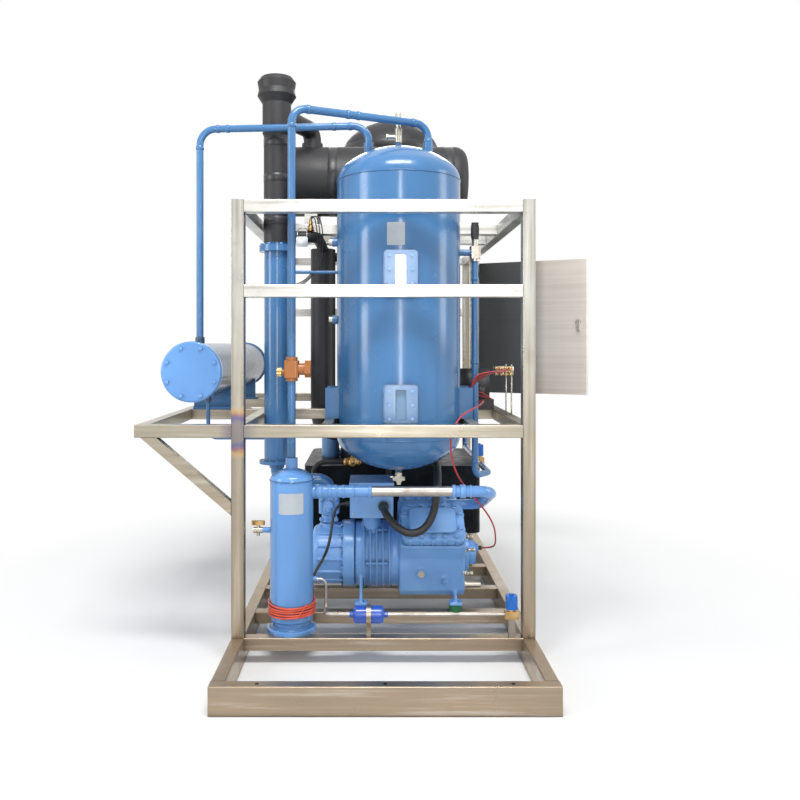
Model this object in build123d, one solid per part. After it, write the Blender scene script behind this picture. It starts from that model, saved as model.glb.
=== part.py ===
from build123d import *
import math
import os

# Tube ice machine on an open welded frame, in millimetres.
# X runs to the right as seen from the front, Y to the back, Z up.
# The origin lies on the floor, at the middle of the base frame.
# A size called depth is measured back from the front face of the front posts.

# Welded frame of square tube
frame_w = 1180.0
frame_d = 2100.0
frame_h = 1800.0
apron = 440.0
tube = 50.0
tube_corner = 4.0
base_h = 100.0
mid_top = 925.0
upper_top = 1470.0
anchor_r = 7.0
anchor_x = 430.0
mid_rail_depth = 793.0
top_rail_front = 630.0
top_rail_back = 990.0
bearer_w = 40.0

# Side shelf for the condenser
shelf_w = 375.0
brace_tube = 40.0
brace_drop = 300.0
cradle_front = 774.0
cradle_pitch = 760.0

# Liquid receiver, the tall vessel behind the front rails
receiver_r = 265.0
receiver_x = 70.0
receiver_gap = 40.0
receiver_bottom = 850.0
receiver_top = 1935.0
receiver_head = 150.0
nozzle_rise = 22.0
bottom_boss = 16.0
boss_r = 13.0
bearer_gap = 6.0
lug_len = 160.0
lug_t = 12.0
lug_h = 130.0
top_nozzle_off = 128.0
gauge_w = 138.0
gauge_h = 158.0
gauge_t = 22.0
gauge_pad = 4.0
gauge_low_z = 998.0
gauge_high_z = 1535.0
gauge_slot_w = 44.0
gauge_slot_h = 120.0
gauge_glass_t = 8.0
gauge_bolt_r = 7.0
gauge_bolt_h = 6.0
side_glass_z = (1678.0, 1344.0, 1019.0)
side_glass_out = 20.0
side_glass_t = 14.0
side_glass_r = 15.0

# Relief valve on the receiver's top
relief_base_r = 15.0
relief_base_h = 60.0
relief_stem_r = 10.0
relief_h = 96.0
relief_outlet_z = 26.0
relief_outlet_r = 8.0
relief_outlet_len = 44.0
relief_nut_r = 12.0
relief_nut_t = 8.0
relief_bar_z = 102.0
relief_bar_r = 7.0
relief_bar_half = 14.0
relief_prong_x = 9.0
relief_prong_r = 5.0
relief_prong_top = 128.0
balance_d = 15.0

# Oil separator, the slim vessel at the front left
separator_r = 86.0
separator_x = -365.0
separator_depth = 102.0
separator_foot_r = 98.0
separator_foot_h = 14.0
separator_h = 645.0
separator_head = 45.0
separator_neck_r = 24.0
separator_neck_h = 40.0
separator_outlet = 16.0
separator_drain_z = 496.0
separator_drain_out = 30.0
heater_z = 165.0
heater_h = 60.0
heater_t = 11.0

# Hot gas pipework
hot_pipe_d = 32.0
hot_pipe_z = 2185.0
hot_pipe_bend = 62.0
discharge_d = 45.0
discharge_z = 650.0
discharge_bend = 75.0
discharge_right_x = 440.0
sleeve_left = -44.0
sleeve_right = 275.0
stop_valve_z = 1139.0
stop_valve_h = 96.0
stop_valve_w = 58.0

# Suction column and insulated riser
column_x = -469.0
column_depth = 480.0
column_r = 56.0
column_low = 708.0
column_drop = 136.0
column_boss = 10.0
balance_drop = 104.0
column_stub = 20.0
flange_r = 78.0
flange_t = 14.0
flange_bolts = 8
riser_r = 58.0
riser_boss = 12.0
riser_collar_r = 64.0
riser_collar_lead = 12.0
collar_rise = 142.0
cap_rise = 307.0
riser_cap_r = 86.0
cap_flare_low = 20.0
cap_flare_high = 14.0
cap_waist = 6.0
cap_waist_rise = 40.0
cap_edge = 16.0
cap_edge_h = 22.0
riser_rise = 403.0
crossover_rise = 245.0
crossover_d = 84.0
crossover_bend = 50.0
branch_d = 50.0
branch_boss = 4.0
collar_h = 12.0
branch_bend = 60.0
branch_off = 90.0
suction_d = 54.0
suction_z = 632.0
suction_bend = 48.0

# Insulated suction drum on top of the frame
drum_r = 165.0
drum_left = -480.0
drum_right = 411.0
drum_depth = 774.0
drum_end = 60.0
saddle_h = 58.0
saddle_w = 60.0
saddle_span = 250.0
saddle_left_x = -330.0
saddle_right_x = 230.0
stub_x = -332.0
stub_h = 18.0

# Ice making cylinder, cutter housing and water tank at the back
evaporator_r = 260.0
evaporator_x = 60.0
evaporator_depth = 1326.0
evaporator_bottom = 760.0
evaporator_shoulder = 2290.0
evaporator_head = 170.0
evaporator_boss = 14.0
cutter_r = 275.0
cutter_wall = 8.0
cutter_disc_r = 248.0
cutter_disc_t = 12.0
cutter_disc_z = 672.0
cutter_windows = 6
cutter_window_mid = 150.0
cutter_window_len = 120.0
cutter_window_w = 62.0
cutter_blade_off = 38.0
cutter_blade_len = 124.0
cutter_blade_t = 8.0
cutter_blade_tilt = 24.0
cutter_blade_h = 34.0
gearbox_r = 70.0
gearbox_h = 40.0
drive_r = 18.0
drive_z = 640.0
gear_motor_r = 48.0
gear_motor_h = 150.0
tank_w = 900.0
tank_d = 700.0
tank_bottom = 277.0
tank_top = 620.0
tank_corner = 45.0
leg_tube = 40.0
leg_inset = 60.0
chute_w = 380.0
chute_h = 90.0
chute_len = 190.0
chute_wall = 3.0
chute_drop = 25.0
chute_low = 652.0
pump_x = 160.0
pump_run = 44.0
pump_r = 60.0
pump_h = 130.0
pump_motor_h = 110.0
pump_motor_step = 14.0
pump_port = 30.0
pump_port_r = 22.0
pump_port_z = 50.0
pump_rise_gap = 40.0
water_pipe_low = 560.0
water_pipe_side = 60.0
water_pipe_d = 34.0
water_pipe_z = 2180.0
water_pipe_bend = 60.0
pump_bend = 24.0

# Compressor with its motor, axis along X
comp_depth = 497.0
comp_z = 305.0
motor_r = 139.0
motor_left = -120.0
case_left = 73.0
case_right = 356.0
case_half = 150.0
sump_z = 150.0
sump_half = 120.0
sump_slope = 30.0
case_rise = 8.0
bank_out = 210.0
bank_half = 100.0
valley_half = 40.0
valley_top = 486.0
head_t = 40.0
head_crown = 14.0
head_margin = 8.0
head_bolt_r = 8.0
head_bolt_h = 8.0
bell_r = 124.0
bell_len = 135.0
bell_round = 26.0
bell_fin_h = 9.0
bell_fin_t = 8.0
bell_fins = 14
flange_len = 51.0
motor_rib_h = 7.0
motor_rib_t = 8.0
motor_ribs = 5
foot_left_x = -91.0
foot_right_x = 313.0
pad_h = 26.0
pad_r = 28.0
foot_t = 14.0
foot_w = 58.0
comp_rail_front = 305.0
comp_rail_back = 640.0
pump_cover_r = 88.0
oil_pump_r = 52.0
sight_x = 167.0
sight_z = 250.0
plug_x = 268.0
plug_z = 220.0
term_left = -139.0
term_right = 48.0
term_front = 344.0
term_back = 550.0
term_low = 491.0
term_high = 629.0
term_post_r = 40.0
lid_t = 14.0
suction_valve_x = -235.0
suction_valve_w = 90.0
suction_valve_low = 441.0
suction_valve_high = 575.0
valve_left = 220.0
valve_right = 290.0
valve_half = 32.0
valve_h = 78.0
valve_z = 520.0

# Water cooled condenser lying on the side shelf
cond_r = 124.0
cond_x = -822.0
cond_z = 1119.0
cond_front = 340.0
cond_len = 1500.0
cond_cover_r = 132.0
cond_cover_t = 34.0
cond_bolts = 8
cond_saddle_t = 12.0
cond_saddle_w = 230.0
cond_nozzle_x = -798.0
cond_nozzle_depth = 412.0
cond_nozzle_h = 26.0
vapour_d = 31.0
vapour_z = 2180.0
vapour_bend = 70.0
drain_x = -792.0
drain_depth = 560.0
drain_d = 18.0
drain_z = 812.0
drain_bend = 40.0

# Liquid line at the right, with its ball valve
liquid_d = 28.0
liquid_x = 400.0
liquid_nozzle_z = 1633.0
liquid_low_z = 672.0
liquid_bend = 40.0
liquid_back_x = 470.0
ball_valve_w = 44.0
ball_valve_h = 52.0
liquid_solenoid_depth = 760.0
brass_w = 46.0
coil_w = 42.0
coil_h = 52.0

# Filter drier and solenoid on the front rail
drier_r = 34.0
drier_len = 150.0
drier_x = -57.0
drier_z = 184.0
drier_depth = 25.0
line_d = 12.0
line_bend = 24.0
line_left_x = -228.0
oil_return_z = 300.0
solenoid_x = 500.0

# Control cabinet at the right
cabinet_w = 620.0
cabinet_h = 750.0
cabinet_d = 220.0
cabinet_low = 960.0
cabinet_front = 1594.0
cabinet_skin = 2.0
door_open = 25.0
door_t = 22.0
door_gap = 3.0
post_tube = 40.0
post_inset = 20.0
hinge_off = 9.0
hinge_r = 8.0
hinge_pin_r = 4.0
hinge_leaf = 36.0
hinge_depth = 16.0
hinge_inset = 90.0
lock_r = 11.0
lock_inset = 50.0
lock_z = 400.0
trunk_left = 130.0
trunk_right = 540.0
trunk_d = 110.0

# Stems that carry the hand wheels and levers
stem_r = 6.0
stem_len = 12.0

# Cables
conduit_d = 32.0
heater_lead_d = 12.0
red_cable_d = 7.0

# Clearances between pieces that only meet, and between a stem and its hub
seat = 0.3
fit = 0.05

# Places worked out from the sizes above
base_len = frame_d + apron
base_front = -base_len / 2
front_y = base_front + apron
back_y = front_y + frame_d
half_w = frame_w / 2
inner_x = half_w - tube
receiver_y = front_y + tube + receiver_gap + receiver_r
nozzle_top = receiver_top + receiver_head + nozzle_rise
separator_y = front_y + separator_depth
separator_top = base_h + separator_h
column_y = front_y + column_depth
column_high = frame_h - column_drop
balance_z = column_high - balance_drop
riser_low = column_high + flange_t + collar_h
branch_z = riser_low + branch_d / 2 + branch_boss
drum_y = front_y + drum_depth
drum_z = frame_h + saddle_h + drum_r
drum_top = drum_z + drum_r
riser_collar_z = drum_z + collar_rise
riser_cap_z = drum_z + cap_rise
riser_top = drum_z + riser_rise
crossover_z = drum_z + crossover_rise
evaporator_y = front_y + evaporator_depth
water_pipe_y = evaporator_y + tank_d / 2 + pump_rise_gap
pump_y = water_pipe_y + pump_run + pump_port + pump_r
comp_y = front_y + comp_depth
foot_reach = (comp_rail_back - comp_rail_front) / 2
term_mid_x = (term_left + term_right) / 2
term_mid_y = front_y + (term_front + term_back) / 2
cond_nozzle_y = front_y + cond_nozzle_depth
drier_y = front_y + drier_depth
cabinet_y = front_y + cabinet_front
hinge_x = half_w - hinge_off
hinge_y = cabinet_y - door_gap


def block(x0, x1, y0, y1, z0, z1):
    mid = ((x0 + x1) / 2, (y0 + y1) / 2, (z0 + z1) / 2)
    return Pos(*mid) * Box(abs(x1 - x0), abs(y1 - y0), abs(z1 - z0))


def tube_along(axis, x0, x1, y0, y1, z0, z1):
    """A square or flat tube whose long edges are rounded."""
    body = block(x0, x1, y0, y1, z0, z1)
    return fillet(body.edges().filter_by(axis), tube_corner)


def rod(axis, start, end, r, x=0.0, y=0.0, z=0.0):
    """A round bar along one axis, from start to end on that axis."""
    length = abs(end - start)
    mid = (start + end) / 2
    if axis == "x":
        return Pos(mid, y, z) * Rot(0, 90, 0) * Cylinder(r, length)
    if axis == "y":
        return Pos(x, mid, z) * Rot(90, 0, 0) * Cylinder(r, length)
    return Pos(x, y, mid) * Cylinder(r, length)


def around(k, count, r, turn=0.0):
    """The k-th of so many places on a circle."""
    a = math.radians(360 * k / count + turn)
    return r * math.cos(a), r * math.sin(a)


def rounded(body, axis, r):
    """The body with its edges along one axis rounded."""
    return fillet(body.edges().filter_by(axis), r)


def bent_pipe(points, d, radii):
    """A round pipe along straight runs joined by arcs."""
    path = FilletPolyline(*points, radius=radii)
    start = Plane(origin=path @ 0, z_dir=path % 0)
    return sweep(start * Circle(d / 2), path=path)


def turned(lines):
    """A body turned about the Z axis from lines drawn as (radius, height)."""
    return revolve(Plane.XZ * make_face(lines), Axis.Z)


def turned_profile(points):
    return turned([Polyline(*points, close=True)])


def dished_end(r, z, rise, way):
    """The outline of a dished end: a knuckle from the wall, then a crown that meets it smoothly."""
    knuckle = rise ** 2 / r
    crown = ((r - knuckle) ** 2 + rise ** 2 - knuckle ** 2) / (2 * (rise - knuckle))
    turn = math.degrees(math.atan2(crown - rise, r - knuckle))
    middle = (0, z + way * (rise - crown))
    corner = (r - knuckle, z)
    if way > 0:
        return [CenterArc(corner, knuckle, 0, turn), CenterArc(middle, crown, turn, 90 - turn)]
    return [CenterArc(corner, knuckle, -turn, turn), CenterArc(middle, crown, -90, 90 - turn)]


def domed_shell(r, low, high, head):
    """An upright shell with a flat foot and a dished top."""
    lines = [Line((0, low), (r, low)), Line((r, low), (r, high))]
    lines += dished_end(r, high, head, 1)
    return turned(lines + [Line((0, high + head), (0, low))])


def vessel(r, low, high, head):
    """An upright pressure vessel with a dished end at each end."""
    lines = dished_end(r, low, head, -1) + [Line((r, low), (r, high))]
    lines += dished_end(r, high, head, 1)
    return turned(lines + [Line((0, high + head), (0, low - head))])


def hex_head(r, h):
    return extrude(RegularPolygon(r, 6), amount=h)


nodes = {}


def add(name, *items):
    """Put pieces into a node, beside those that it holds already."""
    nodes.setdefault(name, []).extend(items)


def write_nodes():
    os.makedirs("parts", exist_ok=True)
    for name, items in nodes.items():
        shape = items[0] if len(items) == 1 else Compound(children=items)
        export_step(shape, "parts/" + name + ".step")


def both_sides(x0, x1):
    """The same span of X at the left and at the right of the middle."""
    return ((-x1, -x0), (x0, x1))


# Welded frame

def cross_rail(depth, top):
    y = front_y + depth
    return tube_along(Axis.X, -inner_x, inner_x, y, y + tube, top - tube, top)


def base_frame():
    for y0 in (base_front, back_y - tube):
        rail = tube_along(Axis.X, -half_w, half_w, y0, y0 + tube, 0, base_h)
        for x in (-anchor_x, 0, anchor_x):
            rail -= rod("z", 0, base_h, anchor_r, x, y0 + tube / 2)
        add("base_rails", rail)
    sides = [tube_along(Axis.Y, x0, x1, base_front + tube, back_y - tube, 0, base_h)
             for x0, x1 in both_sides(inner_x, half_w)]
    add("base_rails", *sides)
    leg_depth = evaporator_depth - tank_d / 2 + leg_inset - tube / 2
    leg_pitch = tank_d - 2 * leg_inset
    depths = (0, comp_rail_front, comp_rail_back, leg_depth, leg_depth + leg_pitch,
              pump_y - front_y - tube / 2)
    add("base_rails", *[cross_rail(depth, base_h) for depth in depths])


def cage():
    posts = []
    for x0, x1 in both_sides(inner_x, half_w):
        for y in (front_y, back_y - tube):
            posts.append(tube_along(Axis.Z, x0, x1, y, y + tube, base_h, frame_h))
    add("corner_posts", *posts)
    for top in (frame_h, upper_top, mid_top):
        rails = [cross_rail(depth, top) for depth in (0, frame_d - tube)]
        add("frame_rails", *rails)
    for top in (frame_h, mid_top):
        rails = [tube_along(Axis.Y, x0, x1, front_y + tube, back_y - tube, top - tube, top)
                 for x0, x1 in both_sides(inner_x, half_w)]
        add("frame_rails", *rails)
    add("frame_rails", cross_rail(mid_rail_depth, mid_top))
    add("frame_rails", cross_rail(top_rail_front, frame_h), cross_rail(top_rail_back, frame_h))


def bearers():
    """Short rails that carry the receiver, the drum and the separator."""
    reach = receiver_r + bearer_gap
    rails = []
    for x0, x1 in both_sides(reach, reach + bearer_w):
        rails.append(tube_along(Axis.Y, receiver_x + x0, receiver_x + x1, front_y + tube,
                                front_y + mid_rail_depth, mid_top - tube, mid_top))
    add("bearers", *rails)
    rails = []
    for x in (saddle_left_x, saddle_right_x):
        rails.append(tube_along(Axis.Y, x - tube / 2, x + tube / 2, front_y + top_rail_front + tube,
                                front_y + top_rail_back, frame_h - tube, frame_h))
    add("bearers", *rails)
    rails = []
    for x0, x1 in both_sides(separator_foot_r / 2 - tube / 2, separator_foot_r / 2 + tube / 2):
        rails.append(tube_along(Axis.Y, separator_x + x0, separator_x + x1, front_y + tube,
                                front_y + comp_rail_front, base_h - tube, base_h))
    add("bearers", *rails)


def shelf():
    outer = -half_w - shelf_w
    arms = []
    for depth, x0 in ((0, outer), (cradle_front, outer + tube),
                      (cradle_front + cradle_pitch, outer + tube), (frame_d - tube, outer)):
        y = front_y + depth
        arms.append(tube_along(Axis.X, x0, -half_w, y, y + tube, mid_top - tube, mid_top))
    add("shelf_rails", *arms)
    add("shelf_rails", tube_along(Axis.Y, outer, outer + tube, front_y + tube, back_y - tube,
                                   mid_top - tube, mid_top))
    high = mid_top - tube
    low = high - brace_drop
    run = shelf_w - tube / 2
    length = math.hypot(run, brace_drop)
    rise = brace_tube * length / run
    slip = brace_tube * length / brace_drop
    foot = -half_w
    outline = Polyline((foot, low), (foot, low + rise), (foot - run + slip, high),
                       (foot - run, high), close=True)
    profile = Plane.XZ * make_face(outline)
    braces = []
    for y in (front_y, back_y - brace_tube):
        braces.append(Pos(0, y, 0) * extrude(profile, amount=-brace_tube))
    add("shelf_rails", *braces)


# Liquid receiver

def receiver():
    body = vessel(receiver_r, receiver_bottom, receiver_top, receiver_head)
    for off, d in ((-top_nozzle_off, vapour_d), (top_nozzle_off, hot_pipe_d)):
        body += rod("z", receiver_top, nozzle_top, d / 2 + 5, off)
    body += rod("z", receiver_top, nozzle_top, boss_r)
    body += rod("z", receiver_bottom - receiver_head - bottom_boss, receiver_bottom, boss_r)
    body += rod("x", 0, liquid_x - ball_valve_w / 2 - receiver_x, liquid_d / 2, z=liquid_nozzle_z)
    for z in side_glass_z:
        body += rod("x", -receiver_r - side_glass_out, 0, 19, z=z)
    body += rod("x", balance_end() - receiver_x, 0, balance_d / 2 + 4,
                y=column_y - receiver_y, z=balance_z)
    half = lug_len / 2
    reach = receiver_r + bearer_gap + bearer_w
    for x0, x1 in both_sides(0, reach):
        body += block(x0, x1, -half, half, mid_top, mid_top + lug_t)
        for y in (-half, half - lug_t):
            body += block(x0, x1, y, y + lug_t, mid_top, mid_top + lug_h)
    for z in (gauge_low_z, gauge_high_z):
        pad = block(-gauge_w / 2, gauge_w / 2, -receiver_r - gauge_pad, 0,
                    z - gauge_h / 2, z + gauge_h / 2)
        body += rounded(pad, Axis.Y, 16)
    add("receiver_shell", Pos(receiver_x, receiver_y, 0) * body)


def balance_end():
    """Where the balance pipe meets its boss on the side of the receiver."""
    off = column_y - receiver_y
    return receiver_x - math.sqrt(receiver_r ** 2 - off ** 2) - 24


def receiver_gauges():
    frames = []
    glasses = []
    bolts = []
    face_y = receiver_y - receiver_r - gauge_pad
    x = receiver_x
    for z in (gauge_low_z, gauge_high_z):
        frame = block(x - gauge_w / 2 + 4, x + gauge_w / 2 - 4, face_y - gauge_t, face_y,
                      z - gauge_h / 2 + 4, z + gauge_h / 2 - 4)
        half_slot = gauge_slot_w / 2
        tall_slot = gauge_slot_h / 2
        slot = block(x - half_slot, x + half_slot, face_y - gauge_t, face_y,
                     z - tall_slot, z + tall_slot)
        frames.append(rounded(frame, Axis.Y, 14) - rounded(slot, Axis.Y, 8))
        glass = block(x - half_slot + seat, x + half_slot - seat, face_y - gauge_glass_t, face_y,
                      z - tall_slot + seat, z + tall_slot - seat)
        glasses.append(rounded(glass, Axis.Y, 8))
        for side in (-1, 1):
            for row in (-1, 0, 1):
                bx = x + side * (gauge_w / 2 - 24)
                bz = z + row * (gauge_h / 2 - 24)
                bolts.append(Pos(bx, face_y - gauge_t, bz) * Rot(90, 0, 0)
                             * hex_head(gauge_bolt_r, gauge_bolt_h))
    add("receiver_gauge_frames", *frames)
    add("receiver_gauge_glasses", *glasses)
    add("bolt_heads", *bolts)


def receiver_fittings():
    x = receiver_x - receiver_r - side_glass_out
    caps = [rod("x", x - side_glass_t, x, side_glass_r, y=receiver_y, z=z) for z in side_glass_z]
    add("sight_glasses", *caps)
    relief = rod("z", 0, relief_base_h, relief_base_r)
    relief += rod("z", relief_base_h, relief_h, relief_stem_r)
    out = -relief_outlet_len
    relief += rod("x", out, 0, relief_outlet_r, z=relief_outlet_z)
    relief += rod("x", out - relief_nut_t, out, relief_nut_r, z=relief_outlet_z)
    relief += rod("x", -relief_bar_half, relief_bar_half, relief_bar_r, z=relief_bar_z)
    for side in (-1, 1):
        relief += rod("z", relief_h, relief_prong_top, relief_prong_r, side * relief_prong_x)
    add("relief_valve", Pos(receiver_x, receiver_y, nozzle_top) * relief)
    top = receiver_bottom - receiver_head - bottom_boss
    stem_y = receiver_y - 34
    mid = top - 17
    body = rod("z", top - 34, top, 15, receiver_x, receiver_y)
    body += rod("x", receiver_x - 34, receiver_x, 8, y=receiver_y, z=mid)
    body += rod("y", stem_y, receiver_y, 10, x=receiver_x, z=mid)
    body += rod("y", stem_y - stem_len, stem_y, stem_r, x=receiver_x, z=mid)
    add("drain_valves", body)
    add("receiver_drain_wheel", Pos(receiver_x, stem_y, mid) * Rot(90, 0, 0) * hand_wheel(26, 4))


def hand_wheel(r, lobes):
    """A lobed knob on the end of a stem that rises from the origin along Z."""
    knob = rod("z", 0, stem_len + 6, r)
    for k in range(lobes):
        cx, cy = around(k, lobes, r * 1.12, 180 / lobes)
        knob -= rod("z", 0, stem_len + 6, r * 0.48, cx, cy)
    return knob - rod("z", 0, stem_len + fit, stem_r + fit)


# Oil separator

def separator():
    low = base_h + 50
    high = separator_top - separator_head
    r = separator_r
    body = domed_shell(r, low, high, separator_head)
    foot_top = base_h + separator_foot_h
    body += turned_profile([(0, base_h), (separator_foot_r, base_h), (separator_foot_r, foot_top),
                            (r - 10, foot_top + 10), (r - 10, low - 10), (r, low), (0, low)])
    body += rod("z", high, separator_top + separator_neck_h, separator_neck_r)
    body += rod("x", 0, r + separator_outlet, discharge_d / 2 + 5, z=discharge_z)
    body += rod("x", -r - separator_drain_out, 0, 11, z=separator_drain_z)
    body += rod("x", 0, r + separator_outlet, line_d / 2 + 5, z=oil_return_z)
    place = Pos(separator_x, separator_y, 0)
    add("oil_separator", place * body)
    inner = r + seat
    half = heater_h / 2
    coils = 4
    pitch = heater_h / coils
    ring = Cylinder(inner + heater_t / 2, heater_h) - Cylinder(inner, heater_h)
    for k in range(coils):
        z = -half + pitch * (k + 0.5)
        ring += Pos(0, 0, z) * Torus(inner + heater_t / 2, heater_t / 2 - seat)
    add("separator_heater", place * Pos(0, 0, heater_z + half) * ring)
    stem_x = -r - separator_drain_out
    mid_x = stem_x - 18
    valve = rod("x", stem_x - 36, stem_x, 12) + rod("z", 0, 20, 9, mid_x)
    valve += rod("z", 20, 20 + stem_len, stem_r, mid_x) + rod("z", -22, 0, 7, mid_x)
    add("drain_valves", place * Pos(0, 0, separator_drain_z) * valve)
    wings = Ellipse(27, 9)
    handle = extrude(wings, amount=stem_len + 5) - rod("z", 0, stem_len + fit, stem_r + fit)
    add("separator_drain_handle", place * Pos(mid_x, 0, separator_drain_z + 20) * handle)


# Hot gas pipes

def hot_gas_pipes():
    x, y = separator_x, separator_y
    low = stop_valve_z - stop_valve_h / 2
    high = stop_valve_z + stop_valve_h / 2
    pipe_r = hot_pipe_d / 2
    add("gas_pipes", rod("z", separator_top + separator_neck_h, low, pipe_r, x, y))
    half = stop_valve_w / 2
    body = Box(2 * half, 2 * half, stop_valve_h - 28)
    body = rounded(body, Axis.Z, 12)
    for side in (-1, 1):
        body += Pos(0, 0, side * (stop_valve_h / 2 - 7)) * Cylinder(pipe_r + 8, 14)
    body += rod("x", 0, half + 30, 24)
    body += Pos(half + 36, 0, 0) * Rot(0, 90, 0) * extrude(RegularPolygon(34, 6), amount=12,
                                                           both=True)
    stem_x = -half - 12
    body += rod("x", stem_x, 0, 13, z=-12)
    body += rod("x", stem_x - stem_len, stem_x, stem_r, z=-12)
    place = Pos(x, y, stop_valve_z)
    add("stop_valve", place * body)
    add("stop_valve_knob", place * Pos(stem_x, 0, -12) * Rot(0, -90, 0) * hand_wheel(18, 6))
    tx = receiver_x + top_nozzle_off
    points = [(x, y, high), (x, y, hot_pipe_z), (tx, receiver_y, hot_pipe_z),
              (tx, receiver_y, nozzle_top)]
    add("gas_pipes", bent_pipe(points, hot_pipe_d, hot_pipe_bend))


def discharge_pipes():
    y, z = separator_y, discharge_z
    points = [(valve_right, comp_y, valve_z), (discharge_right_x, comp_y, valve_z),
              (discharge_right_x, y, z), (sleeve_right, y, z)]
    add("discharge_pipes", bent_pipe(points, discharge_d, discharge_bend))
    add("discharge_pipes", rod("x", sleeve_left, sleeve_right, discharge_d / 2 - 2, y=y, z=z))
    x0 = separator_x + separator_r + separator_outlet
    step = (sleeve_left - x0) / 3
    reducer = rod("x", x0, x0 + step, discharge_d / 2 + 4, y=y, z=z)
    reducer += rod("x", x0, x0 + 2 * step, discharge_d / 2 + 2, y=y, z=z)
    reducer += rod("x", x0, sleeve_left, discharge_d / 2, y=y, z=z)
    add("discharge_pipes", reducer)


# Suction column, riser and branches

def suction_column():
    place = Pos(column_x, column_y, 0)
    low, high = column_low, column_high
    body = rod("z", low, high, column_r)
    body += rod("z", low, low + flange_t, flange_r)
    body += rod("z", high - flange_t, high, flange_r)
    body += rod("z", low - column_stub, low, suction_d / 2 + 6)
    body += rod("x", 0, column_r + column_boss, balance_d / 2 + 4, z=balance_z)
    add("suction_column", place * body)
    collar = rod("z", high, high + flange_t, flange_r)
    collar += rod("z", high + flange_t, riser_low, column_r)
    add("suction_column", place * collar)
    bolts = []
    for k in range(flange_bolts):
        bx, by = around(k, flange_bolts, flange_r - 10, 22.5)
        bolts.append(place * Pos(bx, by, high + flange_t) * hex_head(7, 8))
    add("bolt_heads", *bolts)
    z0 = riser_low
    riser = turned_profile([
        (0, z0), (riser_r, z0), (riser_r, riser_collar_z),
        (riser_collar_r, riser_collar_z + riser_collar_lead),
        (riser_collar_r, riser_cap_z - cap_flare_low), (riser_cap_r, riser_cap_z + cap_flare_high),
        (riser_cap_r - cap_waist, riser_cap_z + cap_waist_rise),
        (riser_cap_r, riser_top - cap_edge_h), (riser_cap_r - cap_edge, riser_top),
        (0, riser_top)])
    riser += rod("x", 0, riser_r + riser_boss, branch_d / 2 + branch_boss, z=branch_z)
    add("suction_riser", place * riser)
    x0 = column_x + column_r + column_boss
    add("thin_lines", rod("x", x0, balance_end(), balance_d / 2, y=column_y, z=balance_z))


def suction_pipes():
    over = (stub_x, drum_y, crossover_z)
    end = (stub_x, drum_y, drum_top + stub_h)
    pipe = bent_pipe([(column_x, column_y, crossover_z), over, end], crossover_d, crossover_bend)
    pipe -= rod("z", riser_collar_z, riser_top, riser_collar_r + seat, column_x, column_y)
    add("suction_branches", pipe)
    z = branch_z
    turn_x = evaporator_x - evaporator_r - branch_off
    points = [(column_x + riser_r + riser_boss, column_y, z), (turn_x, column_y, z),
              (turn_x, evaporator_y, z),
              (evaporator_x - evaporator_r - evaporator_boss, evaporator_y, z)]
    add("suction_branches", bent_pipe(points, branch_d, branch_bend))
    points = [(column_x, column_y, column_low - column_stub), (column_x, column_y, suction_z),
              (suction_valve_x, comp_y, suction_z), (suction_valve_x, comp_y, suction_valve_high)]
    add("suction_pipe", bent_pipe(points, suction_d, suction_bend))


def drum():
    half = (drum_right - drum_left) / 2
    r = drum_r
    corner = drum_end
    body = turned([
        Line((0, -half), (r - corner, -half)),
        CenterArc((r - corner, corner - half), corner, 270, 90),
        Line((r, corner - half), (r, half - corner)),
        CenterArc((r - corner, half - corner), corner, 0, 90),
        Line((r - corner, half), (0, half)),
        Line((0, half), (0, -half)),
    ])
    body = Pos((drum_left + drum_right) / 2, drum_y, drum_z) * Rot(0, 90, 0) * body
    body += rod("z", drum_z, drum_top + stub_h, crossover_d / 2 + 8, stub_x, drum_y)
    add("suction_drum", body)
    saddles = []
    half_span = saddle_span / 2
    for x in (saddle_left_x, saddle_right_x):
        saddle = block(x - saddle_w / 2, x + saddle_w / 2, drum_y - half_span, drum_y + half_span,
                       frame_h, drum_z - r * 0.6)
        saddles.append(saddle - rod("x", x - saddle_w, x + saddle_w, r + seat, y=drum_y, z=drum_z))
    add("brackets", *saddles)


# Ice making cylinder, cutter and tank

def evaporator():
    low, high = evaporator_bottom, evaporator_shoulder
    r = evaporator_r
    body = domed_shell(r, low, high, evaporator_head)
    body += rod("z", low, low + flange_t, cutter_r)
    body += rod("x", 0, r + 34, liquid_d / 2 + 5, z=low + 60)
    body += rod("x", -r - evaporator_boss, 0, branch_d / 2 + branch_boss, z=branch_z)
    body += rod("y", 0, r + evaporator_boss, water_pipe_d / 2 + 5, z=water_pipe_z)
    add("evaporator_shell", Pos(evaporator_x, evaporator_y, 0) * body)


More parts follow.
